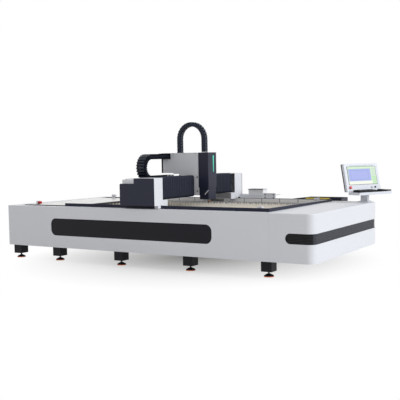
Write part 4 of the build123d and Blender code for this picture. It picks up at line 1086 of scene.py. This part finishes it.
class CUTTER_OT_screws(bpy.types.Operator):
    """Socket screws in the rails, covers, panels and housings"""

    bl_idname = "cutter.screws"
    bl_label = "Screws"

    def execute(self, context):
        add_screws("rail_screws", "bed", self.rail_places(), "ground_steel", 0.0055)
        add_screws("cover_screws", "bed", self.cover_places(), "leg_black", 0.006)
        add_screws("gantry_screws", "gantry", self.gantry_places(), "leg_black", 0.006)
        add_screws("carriage_screws", "carriage", self.carriage_places(), "leg_black", 0.005)
        add_screws("post_screws", "bed", self.post_places(), "ground_steel", 0.007)
        return {"FINISHED"}

    def rail_places(self):
        low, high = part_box("x_rails")
        inset, pitch = 0.055, 0.08
        lines = low.y + inset, high.y - inset
        return grid("+Z", even(low.x + 0.03, high.x - 0.03, pitch), lines, [high.z - 0.001])

    def cover_places(self):
        rows = []
        for node, inset in (("front_cover", 0.06), ("rear_cover", -0.06)):
            low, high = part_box(node)
            y = (low.y if inset > 0 else high.y) + inset
            rows += grid("+Z", even(low.x + 0.06, high.x - 0.05, 0.42), [y], [high.z])
        low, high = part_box("chain_trough")
        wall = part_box("rear_cover")[1].y + 0.022
        places = even(low.x + 0.03, high.x - 0.03, (high.x - low.x) / 4)
        return rows + grid("+Y", places, [wall], [low.z + 0.10])

    def gantry_places(self):
        low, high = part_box("end_panels")
        inset, levels = 0.022, (low.z + 0.025, low.z + 0.14, low.z + 0.255)
        return grid("+Y", (low.x + inset, high.x - inset), [high.y], levels)

    def carriage_places(self):
        rows = []
        body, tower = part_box("carriage_housing"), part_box("z_housing")
        columns = even(body[0].x + 0.02, body[1].x - 0.025, 0.19)
        levels = even(tower[0].z + 0.03, tower[1].z - 0.03, 0.14)
        for side, facing in enumerate(("-Y", "+Y")):
            rows += grid(facing, columns, [body[side].y], [body[1].z - 0.014])
            rows += grid(facing, [tower[0].x + 0.014], [tower[side].y], levels)
        return rows

    def post_places(self):
        low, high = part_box("console_post")
        inset = Vector((0.014, 0.014, 0))
        xs, ys, _ = zip(low + inset, high - inset)
        return grid("+Z", xs, ys, [low.z + 0.012])


class CUTTER_OT_paint(bpy.types.Operator):
    """Finishes for every part of the machine"""

    bl_idname = "cutter.paint"
    bl_label = "Paint"

    def execute(self, context):
        make_finishes(context.scene.cutter_look)
        for node, slot in SLOTS.items():
            mesh = NODES[node].data
            mesh.materials.clear()
            mesh.materials.append(FINISHES[NODE_FINISHES.get(node, slot)])
        return {"FINISHED"}


# Stage
CAMERA_PLACE = (5.4757, -8.7885, 1.458)
CAMERA_YAW, CAMERA_PITCH, CAMERA_ROLL = math.radians(31.66), math.radians(3.54), -0.018
CAMERA_LENS = 65.192


def seen_plainly(tree):
    """1 for rays from the camera, and for what mirrors and glass show."""
    path = tree.nodes.new("ShaderNodeLightPath")
    seen = path.outputs["Is Camera Ray"]
    for name in ("Is Glossy Ray", "Is Transmission Ray"):
        either = tree.nodes.new("ShaderNodeMath")
        either.operation = "MAXIMUM"
        tree.links.new(seen, either.inputs[0])
        tree.links.new(path.outputs[name], either.inputs[1])
        seen = either.outputs[0]
    return seen


def mixed_shader(tree, share, first, second, output):
    mixed = tree.nodes.new("ShaderNodeMixShader")
    for socket, wanted in zip(mixed.inputs, (share, first.outputs[0], second.outputs[0])):
        tree.links.new(wanted, socket)
    tree.links.new(mixed.outputs[0], output.inputs["Surface"])


def backdrop_finish():
    """Pale floor that keeps the shadow near the machine and fades to white further out."""
    made = Finish("floor_white", Roughness=0.9)
    made.shader.inputs["Base Color"].default_value = (*linear((0.84, 0.84, 0.84)), 1)
    start, fade, least = 2.0, 3.0, 0.80
    x, y, _ = made.axes(made.place())
    reach = made.node("ShaderNodeMath", {"operation": "SQRT"}, {0: x * x + y * y})
    far = ((reach - start) / fade + least).clamped()
    glow = made.tree.nodes.new("ShaderNodeEmission")
    glow.inputs["Color"].default_value = (1, 1, 1, 1)
    share = far * Value(made, seen_plainly(made.tree))
    mixed_shader(made.tree, share.socket, made.shader, glow, made.output)
    return made.material


def white_world(strength):
    """Soft light from all round, and plain white to the camera."""
    world = bpy.data.worlds.new("studio")
    bpy.context.scene.world = world
    world.use_nodes = True
    tree = world.node_tree
    tree.nodes.clear()
    white, soft = (tree.nodes.new("ShaderNodeBackground") for _ in range(2))
    white.inputs["Color"].default_value = (1, 1, 1, 1)
    soft.inputs["Color"].default_value = (0.99, 0.985, 1.0, 1)
    soft.inputs["Strength"].default_value = strength
    mixed_shader(tree, seen_plainly(tree), soft, white, tree.nodes.new("ShaderNodeOutputWorld"))


def aimed_lamp(name, kind, power, aim, place=(0, 0, 0), **settings):
    """Lamp that shines along the aim."""
    data = bpy.data.lights.new(name, kind)
    data.energy = power
    for setting, value in settings.items():
        setattr(data, setting, value)
    lamp = new_object(name, data)
    lamp.location = place
    lamp.rotation_mode = "QUATERNION"
    lamp.rotation_quaternion = Vector(aim).to_track_quat("-Z", "Y")


def soft_lamp(name, place, target, size, power):
    aim = Vector(target) - Vector(place)
    aimed_lamp(name, "AREA", power, aim, place, shape="RECTANGLE", size=size[0], size_y=size[1])


class CUTTER_OT_stage(bpy.types.Operator):
    """Floor, soft lamps and the camera at the photograph's angle"""

    bl_idname = "cutter.stage"
    bl_label = "Stage"

    def execute(self, context):
        look = context.scene.cutter_look
        build = bmesh.new()
        bmesh.ops.create_circle(build, cap_ends=True, segments=64, radius=60.0)
        floor = new_object("studio_floor", from_bmesh("studio_floor", build))
        floor.data.materials.append(backdrop_finish())
        white_world(look.sky)
        broad = {"angle": 0.7, "color": (0.93, 0.965, 1.0)}
        aimed_lamp("right_lamp", "SUN", look.right_power, (-1.0, -0.12, -0.42), **broad)
        soft_lamp("front_lamp", (4.5, -9.0, 3.6), (1.0, 0, 0.9), (6, 4), look.front_power)
        soft_lamp("top_lamp", (0, 0.5, 7.0), (0, 0, 0.8), (8, 5), look.top_power)
        context.scene.view_settings.view_transform = "Standard"
        self.camera(context.scene)
        return {"FINISHED"}

    def camera(self, scene):
        data = bpy.data.cameras.new("photo_camera")
        data.sensor_width = 36.0
        data.lens = CAMERA_LENS
        data.clip_end = 200
        yaw, pitch, roll = CAMERA_YAW, CAMERA_PITCH, CAMERA_ROLL
        level = Vector((-math.sin(yaw), math.cos(yaw), 0)) * math.cos(pitch)
        forward = level - Vector((0, 0, math.sin(pitch)))
        right = Vector((math.cos(yaw), math.sin(yaw), 0))
        up = right.cross(forward)
        across = math.cos(roll) * right + math.sin(roll) * up
        upward = -math.sin(roll) * right + math.cos(roll) * up
        camera = new_object("photo_camera", data)
        camera.rotation_mode = "QUATERNION"
        camera.rotation_quaternion = Matrix((across, upward, -forward)).transposed().to_quaternion()
        camera.location = CAMERA_PLACE
        scene.camera = camera


# Settings
def colour_setting(name, description, default):
    return FloatVectorProperty(
        name=name, description=description, default=default, subtype="COLOR", size=3, min=0, max=1,
    )


def length_setting(name, description, default, least=0.0005):
    return FloatProperty(name=name, description=description, default=default, min=least, unit="LENGTH")


def lamp_setting(name, description, default):
    return FloatProperty(name=name, description=description, default=default, min=0)


class CutterLook(bpy.types.PropertyGroup):
    cover: colour_setting("Covers", "Pale paint of the covers, housings and arm", (0.865, 0.870, 0.885))
    navy: colour_setting("Dark panels", "Rim, end panels and inset", (0.130, 0.143, 0.212))
    frame: colour_setting("Frame", "Welded frame", (0.66, 0.66, 0.66))
    leg: colour_setting("Legs", "Legs, feet and motors", (0.080, 0.081, 0.105))
    band: colour_setting("Band", "Ribbed band of the end cover", (0.22, 0.23, 0.26))
    deck: colour_setting("Deck", "Deck beside the table and the rim's inner side", (0.88, 0.875, 0.86))
    steel: colour_setting("Slats", "Slats and slag pans", (0.88, 0.86, 0.82))
    foot: colour_setting("Foot rubber", "Rings under the feet", (1.0, 0.50, 0.30))
    bellows: colour_setting("Bellows", "Pleated cloth", (0.105, 0.125, 0.190))
    chain: colour_setting("Drag chains", "Chain links", (0.140, 0.162, 0.225))
    conduit: colour_setting("Conduits", "Corrugated conduits", (0.93, 0.82, 0.18))
    console: colour_setting("Console", "Monitor and keyboard tray", (0.86, 0.87, 0.895))
    # dark back of the monitor, which also stands in as painted shade on its side
    monitor_back: colour_setting("Monitor's back", "Shell behind the bezel", (0.17, 0.17, 0.19))
    lid: colour_setting("Lid", "Lid of the junction box", (0.24, 0.24, 0.26))
    junction: colour_setting("Junction box", "Walls of the junction box", (0.90, 0.90, 0.91))
    strip: colour_setting("Light strip", "Lit strip on the head's housing", (0.30, 0.80, 0.68))
    sky: lamp_setting("Sky", "Light from all round", 0.50)
    right_power: lamp_setting("Right lamp", "Broad light on the operator's end", 1.98)
    front_power: lamp_setting("Front lamp", "Lamp before the long cover", 85)
    top_power: lamp_setting("Top lamp", "Lamp over the machine", 60)


class CutterDetail(bpy.types.PropertyGroup):
    pleat_pitch: length_setting("Pleat pitch", "From crest to crest", 0.042)
    pleat_depth: length_setting("Pleat depth", "From crest to valley", 0.011)
    cloth_thickness: length_setting("Cloth", "Thickness of the bellows", 0.0012)
    bellows_corner: length_setting("Bellows corner", "Radius of the front corners", 0.026)
    link_pitch: length_setting("Link pitch", "From link to link", 0.052)
    cross_link_pitch: length_setting("Cross link pitch", "From link to link round the carriage's bend", 0.036)
    cross_chain_height: length_setting("Cross chain height", "Over the link's side plate", 0.070)
    long_chain_height: length_setting("Long chain height", "Over the link's side plate", 0.060)
    arch_chain_height: length_setting("Arch chain height", "Over the link's side plate", 0.060)
    long_chain_overhang: length_setting("Overhang", "Moving end beyond the fixed end", 0.100)
    rim_rise: length_setting("Rim rise", "Rim's top over the solid's, on the operator's side", 0.018)
    trough_drop: length_setting("Trough drop", "High walls under the solid's", 0.013)
    trough_slope: length_setting("Trough slope", "Longer run of the far wall's rise", 0.240)
    trough_short: length_setting("Trough end", "Right end before the solid's", 0.085)
    housing_drop: length_setting("Housing drop", "Carriage housing's low edge under the solid's", 0.0085)
    flap_drop: length_setting("Flap drop", "Its left edge under the solid's", 0.013)
    step_shift: length_setting("Step shift", "Step of its low edge, to the right", 0.045)
    post_width: FloatProperty(name="Post width", description="Against the solid's", default=1.2, min=0.5)
    # slope of the pale strip on the shroud, a painted highlight
    highlight_lean: FloatProperty(
        name="Edge lean", description="Slope of the shroud's edge", default=0.82, subtype="ANGLE",
    )
    monitor_half: length_setting("Monitor half", "Half of the solid monitor's width", 0.310)
    monitor_widening: length_setting("Monitor widening", "More width at each side", 0.019)
    screen_width: length_setting("Screen width", "Lit panel", 0.550)
    screen_height: length_setting("Screen height", "Lit panel", 0.256)
    screen_offset: length_setting("Screen offset", "From the post to the panel's middle", -0.001, -0.2)
    screen_bottom: length_setting("Screen bottom", "Over the keyboard tray", 0.098)
    stop_drop: length_setting("Stop drop", "End stops and buffers under the solids'", 0.030)
    keyboard_rise: length_setting("Keyboard rise", "Key tops over the solid's", 0.014)
    shelf_reach: length_setting("Mouse shelf", "Reach beyond the keyboard tray", 0.090)


OPERATORS = (
    CUTTER_OT_paint, CUTTER_OT_forms, CUTTER_OT_bellows, CUTTER_OT_cross_chain, CUTTER_OT_long_chain,
    CUTTER_OT_arch_chain, CUTTER_OT_console, CUTTER_OT_screws, CUTTER_OT_stage,
)


class CUTTER_PT_panel(bpy.types.Panel):
    """Every step of the machine's finish"""

    bl_idname = "CUTTER_PT_panel"
    bl_label = "Laser cutting machine"
    bl_space_type = "VIEW_3D"
    bl_region_type = "UI"
    bl_category = "Cutter"

    def draw(self, context):
        for group in (context.scene.cutter_look, context.scene.cutter_detail):
            for name in group.__annotations__:
                self.layout.prop(group, name)
        for operator in OPERATORS:
            self.layout.operator(operator.bl_idname)


CLASSES = (CutterLook, CutterDetail, *OPERATORS, CUTTER_PT_panel)


def register():
    for made in CLASSES:
        bpy.utils.register_class(made)
    bpy.types.Scene.cutter_look = PointerProperty(type=CutterLook)
    bpy.types.Scene.cutter_detail = PointerProperty(type=CutterDetail)


def unregister():
    del bpy.types.Scene.cutter_detail
    del bpy.types.Scene.cutter_look
    for made in reversed(CLASSES):
        bpy.utils.unregister_class(made)


def main():
    register()
    for operator in OPERATORS:
        group, name = operator.bl_idname.split(".")
        getattr(getattr(bpy.ops, group), name)()


if __name__ == "__main__":
    main()
